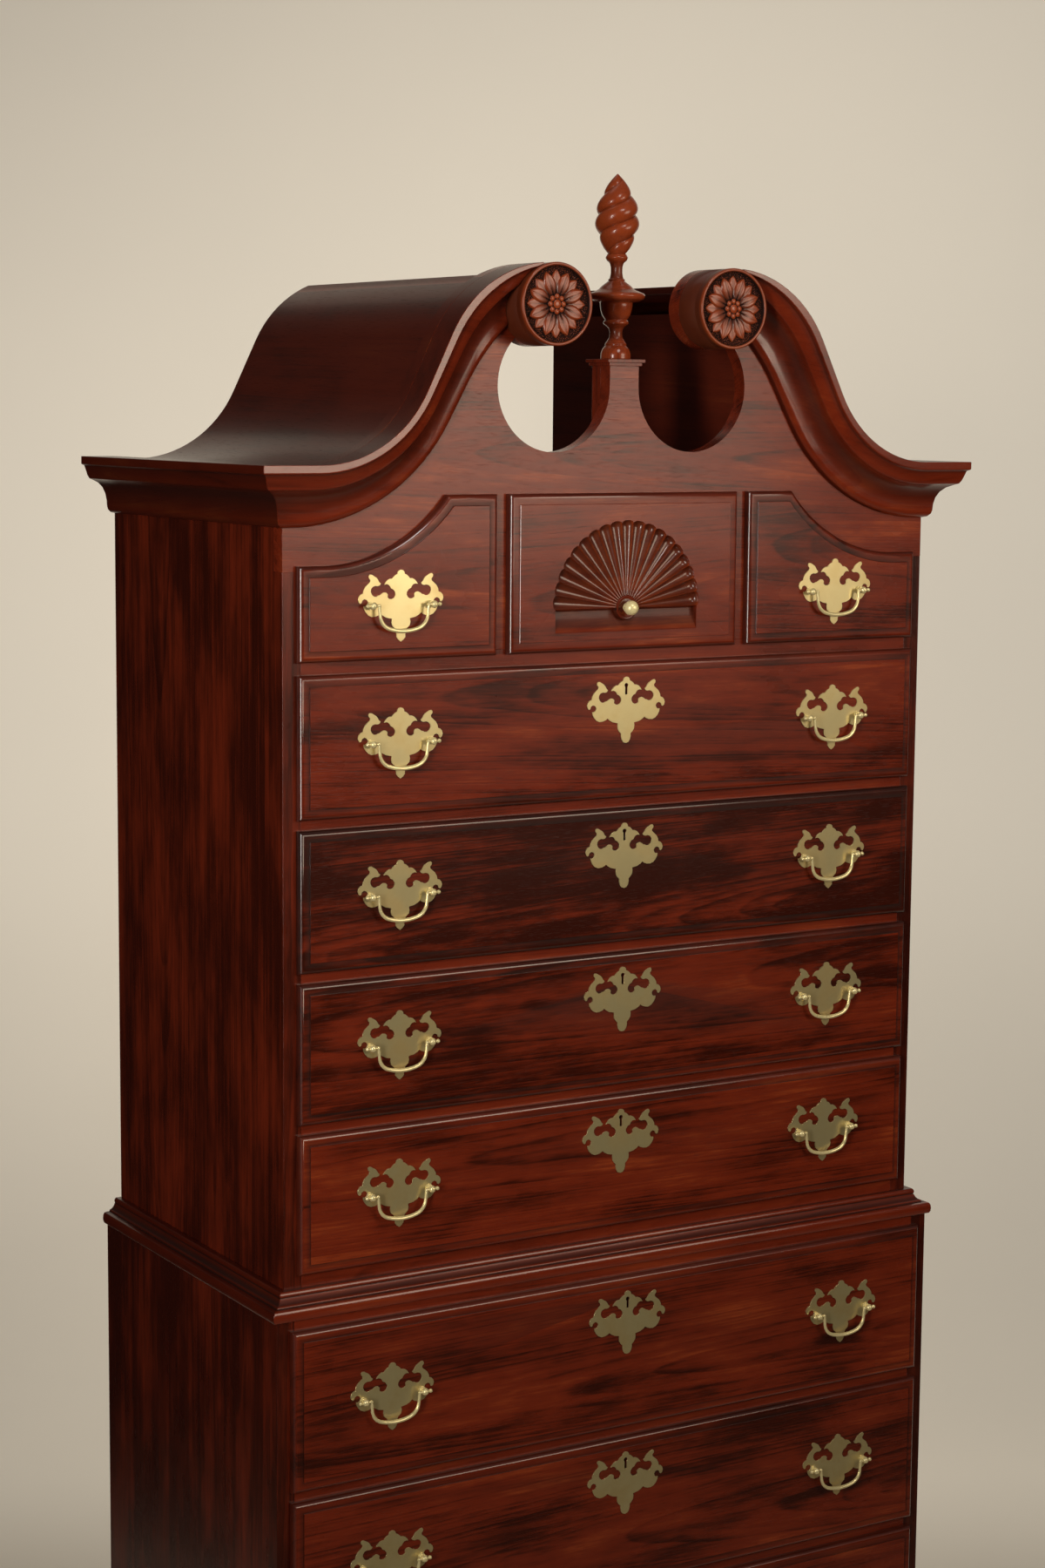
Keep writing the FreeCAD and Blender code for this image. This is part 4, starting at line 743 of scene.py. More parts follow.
def grained(obj, lean=1.0, along=None, tone=0.0):
    """Writes each board's own place in its log, and how light the board is."""
    mesh = obj.data
    spots = coordinates(mesh)
    owner = np.round(marks(mesh, "board")).astype(int)
    grain = np.zeros((len(spots), 3), dtype=np.float32)
    tones = np.zeros(len(spots), dtype=np.float32)
    for board in np.unique(owner):
        chance = random.Random("%s %d" % (obj.name, board))
        pick = owner == board
        low = spots[pick].min(axis=0)
        high = spots[pick].max(axis=0)
        size = high - low
        order = list(np.argsort(-size))
        if along is not None:
            order = [along] + [axis for axis in order if axis != along]
        local = spots[pick] - (low + high) / 2
        run, wide, thick = (local[:, axis] for axis in order)
        side = chance.choice((-1, 1))
        pith_wide = chance.uniform(-0.4, 0.4) * size[order[1]]
        pith_thick = side * (chance.uniform(0.03, 0.09) + size[order[2]] / 2)
        lean_wide = chance.uniform(-0.03, 0.03) * lean
        lean_thick = side * chance.uniform(0.012, 0.045) * lean
        grain[pick, 0] = run + chance.uniform(2.0, 40.0)
        grain[pick, 1] = wide - pith_wide + lean_wide * run
        grain[pick, 2] = thick - pith_thick + lean_thick * run
        tones[pick] = tone + chance.uniform(-0.09, 0.09)
    place = mesh.attributes.new("grain", "FLOAT_VECTOR", "POINT")
    place.data.foreach_set("vector", grain.reshape(-1))
    marked(obj, "tone", tones)
    if "board" in mesh.attributes:
        mesh.attributes.remove(mesh.attributes["board"])


def painted(obj, material):
    """Gives the whole piece one material."""
    obj.data.materials.clear()
    obj.data.materials.append(material)
    obj.data.polygons.foreach_set("material_index", [0] * len(obj.data.polygons))


def covered(obj, material, rule):
    """Gives another material to the faces that a rule picks."""
    mesh = obj.data
    mesh.materials.append(bpy.data.materials[material])
    for part in mesh.polygons:
        if rule(part):
            part.material_index = len(mesh.materials) - 1


def settled(obj, body, slot, *nodes):
    """Puts a piece on its body in place of the CAD nodes that it stands for."""
    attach(obj, body)
    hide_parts(*nodes)


def held(obj, node):
    """Keeps the rounded edges of a copy inside its node's own box."""
    low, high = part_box(node)
    spots = np.clip(coordinates(obj.data), low, high).astype(np.float32)
    obj.data.vertices.foreach_set("co", spots.reshape(-1))


def wooden(node, name, body, slot, material, lean=1.0, along=None, tone=0.0, edge=None):
    """A node's boards with eased edges and their own grain."""
    obj = boards_copy(name, node)
    flattened(obj)
    eased(obj, edge or bpy.context.scene.chest_wood.edge)
    baked(obj)
    held(obj, node)
    grained(obj, lean, along, tone)
    painted(obj, bpy.data.materials[material])
    settled(obj, body, slot, node)
    return obj


def lathe(profile, steps, closed_ends=True):
    """Places and faces of a form turned about Z from (radius, height) points."""
    spots = []
    faces = []
    for radius, height in profile:
        for step in range(steps):
            angle = 2 * math.pi * step / steps
            spots.append((radius * math.cos(angle), radius * math.sin(angle), height))
    for level in range(len(profile) - 1):
        for step in range(steps):
            after = (step + 1) % steps
            faces.append((level * steps + step, level * steps + after,
                          (level + 1) * steps + after, (level + 1) * steps + step))
    if closed_ends:
        faces.append(tuple(reversed(range(steps))))
        faces.append(tuple(range((len(profile) - 1) * steps, len(profile) * steps)))
    return spots, faces


def standing(name, spots, faces, dark):
    """A piece marked with dark glazing and painted shade, from places given as right, up and
    forwards on the front.
    """
    places = [(right, -out, up) for right, up, out in spots]
    return glazed_and_shaded(new_object(name, mesh_from(name, places, faces)), dark)


def shifted(obj, offset):
    """Moves a mesh without moving its object."""
    obj.data.transform(Matrix.Translation(offset))
    return obj


def joined(name, pieces):
    """One object from several, with each point's dark glazing and painted shade kept."""
    spots = []
    faces = []
    glaze = []
    for piece in pieces:
        mesh = piece.data
        base = len(spots)
        spots += [tuple(vertex.co) for vertex in mesh.vertices]
        faces += [tuple(base + corner for corner in face.vertices) for face in mesh.polygons]
        glaze += marks(mesh, "glaze").tolist()
        bpy.data.objects.remove(piece)
        bpy.data.meshes.remove(mesh)
    return glazed_and_shaded(new_object(name, mesh_from(name, spots, faces)), glaze)


# Materials operator

class CHEST_OT_materials(bpy.types.Operator):
    """Make the wood and brass materials and the trees that shape pieces"""

    bl_idname = "chest.materials"
    bl_label = "Materials"

    def execute(self, context):
        wood = context.scene.chest_wood
        brass = context.scene.chest_brass
        for group in (figure_group, tint_group, brass_group, ring_tree, flame_tree, rod_tree,
                      ground_tree):
            group()
        deep, middle, light, pale, bright = (
            np.array(part) for part in (wood.deep, wood.middle, wood.light, wood.pale,
                                        brass.bright))
        cherry = (deep, middle, light)
        turned = (deep * 3.0, middle * (1.7, 2.5, 2.2), light * (1.1, 1.5, 1.4))
        for name, tones, *look in (
                ("cherry_fronts", cherry, 0.2, 0.1, 0.85, 0.2),
                ("cherry_case", cherry, 0.22, 0.08, 0.55, 0.1),
                ("cherry_shade", (deep * 0.8, middle * 0.42, light * 0.3), 0.24, 0.1, 0.6, 0.06),
                ("cherry_lip", cherry, 0.14, 1.0, 0.6, 0.05),
                ("cherry_carved", cherry, 0.14, 0.6, 0.5, 0.1),
                ("cherry_turned", turned, 0.2, 0.3, 0.4, 0.06),
                # A dark ground for the rosettes' punched floors, also used as painted shade in
                # deep hollows and on the fan's ledge.
                ("punched_ground", (deep * 0.5, deep, middle), 0.6, 0.0, 0.7, 0.2),
                ("pale_boards", (pale * 0.55, pale, pale * 1.35), 0.6, 0.0, 0.45, 0.2)):
            wood_material(name, tones, wood.ring, *look)
        brass_material("cast_brass", bright, brass.dull, 0.76, 0.3)
        # Bails, posts and the knob get light base colours and little metal, which paints in the
        # sheen their reflections would give.
        brass_material("rubbed_brass", bright * 1.35, bright, 0.45, 0.22)
        brass_material("knob_brass", bright * 1.4, bright, 0.2, 0.26)
        return {"FINISHED"}


class CHEST_OT_case(bpy.types.Operator):
    """Make the sides, frames and back boards of both cases"""

    bl_idname = "chest.case"
    bl_label = "Case boards"

    def execute(self, context):
        # The sides get darker tones as painted shade, since they face away from the lights; the
        # lower sides are darker still.
        for node, tone in (("upper_case_sides", -0.24), ("lower_case_sides", -0.34)):
            wooden(node, node + "_boards", CASE, "case_wood", "cherry_case", along=2, tone=tone)
        for node in ("upper_case_frame", "lower_case_frame"):
            wooden(node, node + "_boards", CASE, "case_wood", "cherry_case", tone=0.06)
        wooden("case_backs", "case_backs_boards", CASE, "back_wood", "pale_boards", along=0)
        return {"FINISHED"}


def creased(obj, dark=0.9):
    """Paints dark glazing and painted shade into the inner corners of a piece."""
    form = bmesh.new()
    form.from_mesh(obj.data)
    fold = np.zeros(len(form.verts))
    for edge in form.edges:
        turn = -edge.calc_face_angle_signed(0.0)
        for vert in edge.verts:
            fold[vert.index] = max(fold[vert.index], turn)
    form.free()
    return glazed_and_shaded(obj, dark * np.clip(fold / FOLD_ANGLE, 0.0, 1.0))


def turned_away(obj):
    """Gives the painted-shade copy of the wood to the faces of a piece that do not look forwards.
    """
    covered(obj, "cherry_shade", lambda part: part.normal.y > AWAY)


class CHEST_OT_mouldings(bpy.types.Operator):
    """Make the cornice with its swan necks, and the waist and base mouldings"""

    bl_idname = "chest.mouldings"
    bl_label = "Mouldings"

    def execute(self, context):
        for node in ("cornice_moulding", "waist_moulding", "base_moulding"):
            obj = wooden(node, node + "_run", CASE, "case_wood", "cherry_carved", tone=0.14)
            creased(obj)
            turned_away(obj)
        return {"FINISHED"}


class CHEST_OT_bonnet(bpy.types.Operator):
    """Make the pierced scroll board and the bonnet's roof"""

    bl_idname = "chest.bonnet"
    bl_label = "Bonnet"

    def execute(self, context):
        board = wooden("scroll_board", "scroll_board_front", CASE, "case_wood", "cherry_fronts",
                       tone=0.16)
        covered(board, "cherry_shade",
                lambda part: part.normal.z > LOOKS_UP and abs(part.center.x) > HOLLOW_HALF)
        roof = wooden("bonnet_roof", "bonnet_roof_boards", CASE, "case_wood", "cherry_shade",
                      along=1)
        # Inside the hollow the roof takes the case wood, darkened by painted shade.
        covered(roof, "cherry_case", lambda part: abs(part.center.x) < HOLLOW_HALF)
        glazed_and_shaded(roof, 0.5 * (np.abs(coordinates(roof.data)[:, 0]) < HOLLOW_HALF))
        return {"FINISHED"}


class CHEST_OT_feet(bpy.types.Operator):
    """Make the bracket feet"""

    bl_idname = "chest.feet"
    bl_label = "Bracket feet"

    def execute(self, context):
        feet = wooden("bracket_feet", "bracket_feet_brackets", CASE, "case_wood", "cherry_case")
        turned_away(feet)
        return {"FINISHED"}


def long_bodies():
    """The names of the bodies of the long drawers, from the top down."""
    upper = ["upper_drawer_%d" % number for number in range(1, UPPER_LONG + 1)]
    lower = ["lower_drawer_%d" % number for number in range(1, LOWER_LONG + 1)]
    return upper + lower


def lip_shade_and_lacquer(obj):
    """Gives a drawer's lip its lacquer, and paints dark shade on what lies behind its face, round
    the lip's edge and in its hollows.
    """
    depths = coordinates(obj.data)[:, 1]
    face = depths.min()
    behind = np.clip((depths - face - SHADE_START) / SHADE_RUN, 0.0, 1.0)
    glazed_and_shaded(obj, np.maximum(marks(obj.data, "glaze"), 0.7 * behind))
    covered(obj, "cherry_lip", lambda part: part.normal.y > -0.97
            and face + 0.1 * MM < part.center.y < face + LIP_DEEP)


class CHEST_OT_fronts(bpy.types.Operator):
    """Make the lipped fronts of the drawers"""

    bl_idname = "chest.fronts"
    bl_label = "Drawer fronts"

    def execute(self, context):
        for body in long_bodies() + ["top_drawer_left", "top_drawer_right"]:
            obj = wooden(body + "_front", body + "_front_board", body, "case_wood",
                         "cherry_fronts", along=0, tone=TONES.get(body, 0.0),
                         edge=context.scene.chest_wood.field_edge)
            creased(obj)
            lip_shade_and_lacquer(obj)
        return {"FINISHED"}


class CHEST_OT_fan(bpy.types.Operator):
    """Make the middle drawer's front with its carved fan"""

    bl_idname = "chest.fan"
    bl_label = "Carved fan"

    def execute(self, context):
        node = "top_drawer_centre_front"
        low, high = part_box(node)
        self.centre = low[2] + FAN_RISE
        self.face = low[1]
        carving = context.scene.chest_carving
        self.radius = carving.fan_radius
        self.depth = carving.fan_depth
        self.form = bmesh.new()
        self.dark = self.form.verts.layers.float.new("glaze")
        self.board(low, high, self.flutes(), self.cove())
        bmesh.ops.remove_doubles(self.form, verts=self.form.verts, dist=0.00002)
        bmesh.ops.recalc_face_normals(self.form, faces=self.form.faces)
        mesh = bpy.data.meshes.new("fan_front")
        self.form.to_mesh(mesh)
        self.form.free()
        fan = new_object("fan_front", mesh)
        obj = softened(joined("top_drawer_centre_front_board", [fan, self.boss()]))
        for part in obj.data.polygons:
            part.use_smooth = part.center.y > self.face + 0.01 * MM
        grained(obj, along=0)
        painted(obj, bpy.data.materials["cherry_fronts"])
        lip_shade_and_lacquer(obj)
        for name in ("cherry_carved", "cherry_fronts", "punched_ground"):
            covered(obj, name, lambda part, name=name: self.zone(part) == name)
        # Painted light: the carving's wood is made lighter, standing in for light that does not
        # reach its hollows.
        spots = coordinates(obj.data)
        reach = np.hypot(spots[:, 0], spots[:, 2] - self.centre)
        carved = (reach < self.radius) & (spots[:, 1] > self.face + 0.4 * MM)
        marked(obj, "tone", marks(obj.data, "tone") + 0.3 * carved)
        settled(obj, "top_drawer_centre", "case_wood", node)
        return {"FINISHED"}

    def zone(self, part):
        """Carved wood for the flutes, plain wood for the cove, and the dark ground on the ledge
        between them as a painted shadow line.
        """
        right, up = part.center.x, part.center.z - self.centre
        if part.center.y - self.face <= 0.02 * MM:
            return None
        if math.hypot(right, up) < self.radius + 0.1 * MM and up > -COVE_TOP:
            return "cherry_carved" if up > -0.1 * MM else "punched_ground"
        if abs(right) < self.radius and -COVE_LOW < up < 0:
            return "cherry_fronts"
        return None

    def boss(self):
        """The turned boss that the knob stands in."""
        profile = [(0.5 * MM, -8.4 * MM)]
        profile += [(FAN_BOSS - inset * MM, out * MM) for inset, out in BOSS_FACE]
        profile.append((0.5 * MM, -1.4 * MM))
        spots, faces = lathe(profile, 64)
        # Painted shade: dark on the boss's side and back, lighter on its face.
        dark = [0.85 if height < -1 * MM and math.hypot(right, up) > FAN_BOSS - 2 * MM else 0.3
                for right, up, height in spots]
        return shifted(outward(standing("boss", spots, faces, dark)),
                       Vector((0.0, self.face, self.centre)))

    def corner(self, right, up, out, dark=0.0):
        """One corner at a place right of, above and in front of the fan's middle."""
        vert = self.form.verts.new((right, self.face - out, self.centre + up))
        vert[self.dark] = dark
        return vert

    def sheet(self, rows):
        """Faces over rows of corners."""
        for row, after in zip(rows, rows[1:]):
            for first, second, third, fourth in zip(row, row[1:], after[1:], after):
                self.form.faces.new((first, second, third, fourth))

    def flutes(self):
        """The fan's hollow flutes; gives its rim, its two lower edges and its middle."""
        steps = 12
        near = 3 * MM
        rows = []
        for level in range(FAN_LEVELS + 1):
            run = 1 - (1 - level / FAN_LEVELS) ** 1.7
            row = []
            for step in range(FLUTES * steps + 1):
                side = -math.cos(math.pi * (step % steps) / steps)
                angle = math.pi * (step // steps + (side + 1) / 2) / FLUTES
                bulge = 1 - side * side
                end = self.radius - RIM_SCALLOP * (1 - math.sqrt(bulge))
                reach = FAN_HUB + (end - FAN_HUB) * run
                deep = min(reach * math.pi / FLUTES / 2 * 0.92, self.depth) * math.sqrt(bulge)
                scoop = max(0.0, (reach - end + SCOOP) / SCOOP)
                deep *= math.sqrt(max(0.0, 1 - scoop ** 2.4))
                out = (-FAN_SINK * min(1.0, (end - reach) / near)
                       - deep * min(1.0, (reach - FAN_HUB) / near))
                # Painted shade: darker up each flute's walls short of the arris, less at the
                # scoops, and round the hub where the knob shades it.
                dark = 0.75 * (abs(side) ** 2.2) * (1 - abs(side) ** 12) * (1 - 0.9 * scoop)
                dark += 0.6 * max(0.0, 1 - (reach - FAN_HUB) / (12 * MM))
                row.append(self.corner(reach * math.cos(angle), reach * math.sin(angle), out,
                                       min(dark, 1.0)))
            rows.append(row)
        self.sheet(rows)
        # Painted shade at the hub's middle, under the knob.
        middle = self.corner(0.0, 0.0, -FAN_SINK, 0.9)
        for first, second in zip(rows[0], rows[0][1:]):
            self.form.faces.new((first, second, middle))
        return rows[-1], [row[0] for row in rows], [row[-1] for row in rows], middle

    def cove(self):
        """The hollow strip under the fan, from its upper edge to its lower one."""
        half = self.radius - RIM_SCALLOP
        rows = []
        for level in range(COVE_LEVELS + 1):
            share = level / COVE_LEVELS
            up = -COVE_TOP - (COVE_LOW - COVE_TOP) * share
            out = -COVE_DEEP * math.cos(share * math.pi / 2)
            # Painted shade: the cove is darker at its top, under the ledge.
            rows.append([self.corner(end, up, out, 0.25 + 0.3 * (1 - share) ** 2)
                         for end in (-half, half)])
        self.sheet(rows)
        return rows

    def board(self, low, high, fan, cove):
        """The lipped board round the carving, and the small faces that close the carving."""
        rim, right_edge, left_edge, middle = fan
        form = self.form
        chain = left_edge[::-1] + [middle] + right_edge
        form.faces.new([cove[0][0]] + chain + [cove[0][1]])
        form.faces.new([rim[-1]] + [row[0] for row in cove])
        form.faces.new([rim[0]] + [row[1] for row in cove])
        inner = [cove[-1][0]] + rim[::-1] + [cove[-1][1]]
        edges = []
        for loop in (inner, self.rings(low, high)[-1]):
            for pair in zip(loop, loop[1:] + loop[:1]):
                edges.append(form.edges.get(pair) or form.edges.new(pair))
        bmesh.ops.triangle_fill(form, use_beauty=True, use_dissolve=False, edges=edges)

    def rings(self, low, high):
        """The back, tongue, lip and raised field of the board, as rings of four corners."""
        lip_back = -LIP_STEP - LIP_THICK
        tongue = LIP_OVERLAP + 1 * MM
        levels = [(tongue, low[1] - high[1]), (tongue, lip_back), (0.0, lip_back)]
        for step in range(9):
            angle = step * math.pi / 16
            levels.append((LIP_ROUND * (1 - math.cos(angle)),
                           -LIP_STEP - LIP_ROUND * (1 - math.sin(angle))))
        levels += [(FIELD_INSET - 0.1 * MM, -LIP_STEP), (FIELD_INSET, 0.15 * MM - LIP_STEP),
                   (FIELD_INSET + 0.1 * MM, -0.3 * MM), (FIELD_INSET + 0.4 * MM, 0.0)]
        loops = []
        for inset, out in levels:
            box = ((low[0] + inset, low[2] + inset), (high[0] - inset, low[2] + inset),
                   (high[0] - inset, high[2] - inset), (low[0] + inset, high[2] - inset))
            loops.append([self.corner(right, up - self.centre, out) for right, up in box])
        self.form.faces.new(loops[0][::-1])
        for loop, after in zip(loops, loops[1:]):
            self.sheet([loop + loop[:1], after + after[:1]])
        return loops


class CHEST_OT_boxes(bpy.types.Operator):
    """Make the pale boards of the drawer boxes"""

    bl_idname = "chest.boxes"
    bl_label = "Drawer boxes"

    def execute(self, context):
        for body in long_bodies() + ["top_drawer_left", "top_drawer_centre", "top_drawer_right"]:
            wooden(body + "_box", body + "_box_boards", body, "drawer_wood", "pale_boards")
        return {"FINISHED"}


class CHEST_OT_brasses(bpy.types.Operator):
    """Make the pierced plates, posts, nuts, bails and the small knob"""

    bl_idname = "chest.brasses"
    bl_label = "Brasses"

    def execute(self, context):
        width = context.scene.chest_brass.edge
        metal = bpy.data.materials["cast_brass"]
        for body in long_bodies() + ["top_drawer_left", "top_drawer_right"]:
            obj = flattened(boards_copy(body + "_plates", body + "_brasses"))
            eased(obj, width)
            baked(obj)
            painted(obj, metal)
            self.rubbed(obj)
            settled(obj, body, "brass", body + "_brasses")
        self.bails(sorted(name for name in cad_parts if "_bail" in name))
        obj = softened(boards_copy("top_drawer_centre_knob_turned", "top_drawer_centre_knob"))
        painted(obj, bpy.data.materials["knob_brass"])
        settled(obj, "top_drawer_centre", "brass", "top_drawer_centre_knob")
        return {"FINISHED"}

    def rubbed(self, obj):
        """Gives the brighter brass, rubbed and with painted sheen, to what stands in front of the
        plates.
        """
        area = {}
        for part in obj.data.polygons:
            if part.normal.y < -0.99:
                level = round(part.center.y / (0.1 * MM))
                area[level] = area.get(level, 0.0) + part.area
        plate = max(area, key=area.get) * 0.1 * MM
        covered(obj, "rubbed_brass", lambda part: part.center.y < plate - 0.5 * MM)

    def bails(self, nodes):
        """One bail for each node, all from one mesh."""
        low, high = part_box(nodes[0])
        ball = (high[0] - low[0]) / 2 - PIN_BALL
        path = bail_path()
        line = bpy.data.meshes.new("bail line")
        line.from_pydata([(right, 0.0, up) for right, up in path],
                         [(step, step + 1) for step in range(len(path) - 1)], [])
        brass = bpy.context.scene.chest_brass
        rod = worked(new_object("rod", line), bpy.data.node_groups["Swelled rod"],
                     Thin=brass.thin, Thick=brass.thick)
        model = softened(joined("bail", [outward(rod)] + [self.pin(side, ball)
                                                          for side in (-1, 1)]), SOFT_ANGLE)
        for node in nodes:
            low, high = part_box(node)
            obj = new_object(node + "_grip", model.data.copy())
            shifted(obj, Vector(((low[0] + high[0]) / 2, (low[1] + high[1]) / 2,
                                 high[2] - PIN_BALL)))
            painted(obj, bpy.data.materials["rubbed_brass"])
            settled(obj, node, "brass", node)
        mesh = model.data
        bpy.data.objects.remove(model)
        bpy.data.meshes.remove(mesh)

    def pin(self, side, ball):
        """The pin that a bail swings on, with a small ball on its outer end."""
        elbow = 2.0 * MM
        profile = [(0.05 * MM, BAIL_HALF - elbow)]
        steps = 36
        for step in range(1, steps):
            turn = (1 - math.cos(math.pi * step / steps)) / 2
            at = BAIL_HALF - elbow + (ball + PIN_BALL - BAIL_HALF + elbow) * turn
            near = math.sqrt(max(0.0, elbow ** 2 - (at - BAIL_HALF) ** 2))
            far = math.sqrt(max(0.0, PIN_BALL ** 2 - (at - ball) ** 2))
            shaft = PIN_RADIUS if BAIL_HALF < at < ball else 0.0
            profile.append((max(near, far, shaft, 0.05 * MM), at))
        profile.append((0.05 * MM, ball + PIN_BALL))
        spots, faces = lathe(profile, 20)
        turned = [(side * height, up, right) for right, up, height in spots]
        return outward(new_object("pin", mesh_from("pin", turned, faces)))


def bail_path():
    """The line of a bail from one arm, round its belly and up the other."""
    lean = math.asin(BELLY_HALF / BAIL_BELLY)
    rise = BAIL_BELLY * (1 - math.cos(lean))
    arm = BAIL_HALF - BELLY_HALF - (BAIL_DROP - rise) / math.tan(ARM_ANGLE)
    corner = arm / (math.sin(ARM_ANGLE) - math.sin(lean)
                    - (math.cos(lean) - math.cos(ARM_ANGLE)) / math.tan(ARM_ANGLE))
    middle = (BELLY_HALF - corner * math.sin(lean),
              rise - BAIL_DROP + corner * math.cos(lean))
    right = [(BAIL_HALF, 0.0)]
    for step in range(13):
        angle = ARM_ANGLE + (lean - ARM_ANGLE) * step / 12
        right.append((middle[0] + corner * math.sin(angle), middle[1] - corner * math.cos(angle)))
    for step in range(1, 8):
        angle = lean * (1 - step / 8)
        right.append((BAIL_BELLY * math.sin(angle),
                      BAIL_BELLY * (1 - math.cos(angle)) - BAIL_DROP))
    left = [(-across, up) for across, up in reversed(right)]
    return right + [(0.0, -BAIL_DROP)] + left


def petal(name, long, wide, thick, root, lift, curl, veins):
    """A pointed petal with a sunk middle vein, fine side veins and a curling tip."""
    rows = across = 17
    full_at = 0.46
    spots = []
    glaze = []
    for row in range(rows):
        share = row / (rows - 1)
        away = (share - full_at) / (1 - full_at)
        full = (1 - away * away) ** 0.8 if away > 0 else 1 - 0.6 * (1 - share / full_at) ** 2
        spine = lift + thick * 0.3 * math.sin(math.pi * share) + curl * share * share
        for step in range(across):
            side = 2 * step / (across - 1) - 1
            round_off = thick * 0.5 * (1 - abs(side) ** 3)
            groove = veins * math.exp(-(side / 0.13) ** 2) * (1 - share * 0.5)
            ribs = 0.3 * veins * math.cos(3.0 * math.pi * abs(side)) * math.sin(math.pi * share)
            spots.append((root + long * share, wide / 2 * full * side,
                          spine + round_off - groove + ribs))
            # Painted shade: darker along the sunk vein, at the edges between petals and towards
            # the root; the underside is dark.
            dark = 0.12 + 0.75 * math.exp(-(side / 0.11) ** 2) * (1 - share * 0.6)
            dark += 0.9 * max(0.0, (abs(side) - 0.8) / 0.2) ** 1.5
            dark += 0.9 * max(0.0, 0.5 - share) / 0.5
            glaze.append(min(dark, 1.0))
    top = len(spots)
    spots += [(right, up * 0.97, min(lift, out) - thick) for right, up, out in spots]
    glaze += [1.0] * top
    faces = []
    for base, order in ((0, 1), (top, -1)):
        for row in range(rows - 1):
            for step in range(across - 1):
                corner = base + row * across + step
                face = (corner, corner + across, corner + across + 1, corner + 1)
                faces.append(face[::order])
    ring = list(range(across))
    ring += [row * across + across - 1 for row in range(1, rows)]
    ring += [(rows - 1) * across + step for step in range(across - 2, -1, -1)]
    ring += [row * across for row in range(rows - 2, 0, -1)]
    for first, second in zip(ring, ring[1:] + ring[:1]):
        faces.append((first, second, top + second, top + first))
    return outward(standing(name, spots, faces, glaze))


def dome(name, radius, rise, base, steps=32, levels=8):
    """A low round button standing on the plane of the front."""
    profile = [(radius, base - rise)]
    profile += [(radius * math.cos(level * math.pi / 2 / levels),
                 base + rise * math.sin(level * math.pi / 2 / levels)) for level in range(levels)]
    spots, faces = lathe(profile, steps, False)
    tip = len(spots)
    spots.append((0.0, 0.0, base + rise))
    last = (len(profile) - 1) * steps
    faces += [(last + step, last + (step + 1) % steps, tip) for step in range(steps)]
    faces.append(tuple(reversed(range(steps))))
    # Painted shade: darker towards the dome's foot.
    dark = [1.0 - min(1.0, max(0.0, (height - base) / rise * 1.6)) for _, _, height in spots]
    return standing(name, spots, faces, dark)


def ring_of(obj, count, first, centre):
    """A shape copied round a centre on the front."""
    return worked(obj, bpy.data.node_groups["Ring of copies"], Count=count, First_Angle=first,
                  Step_Angle=FULL_TURN / count, Centre=centre)


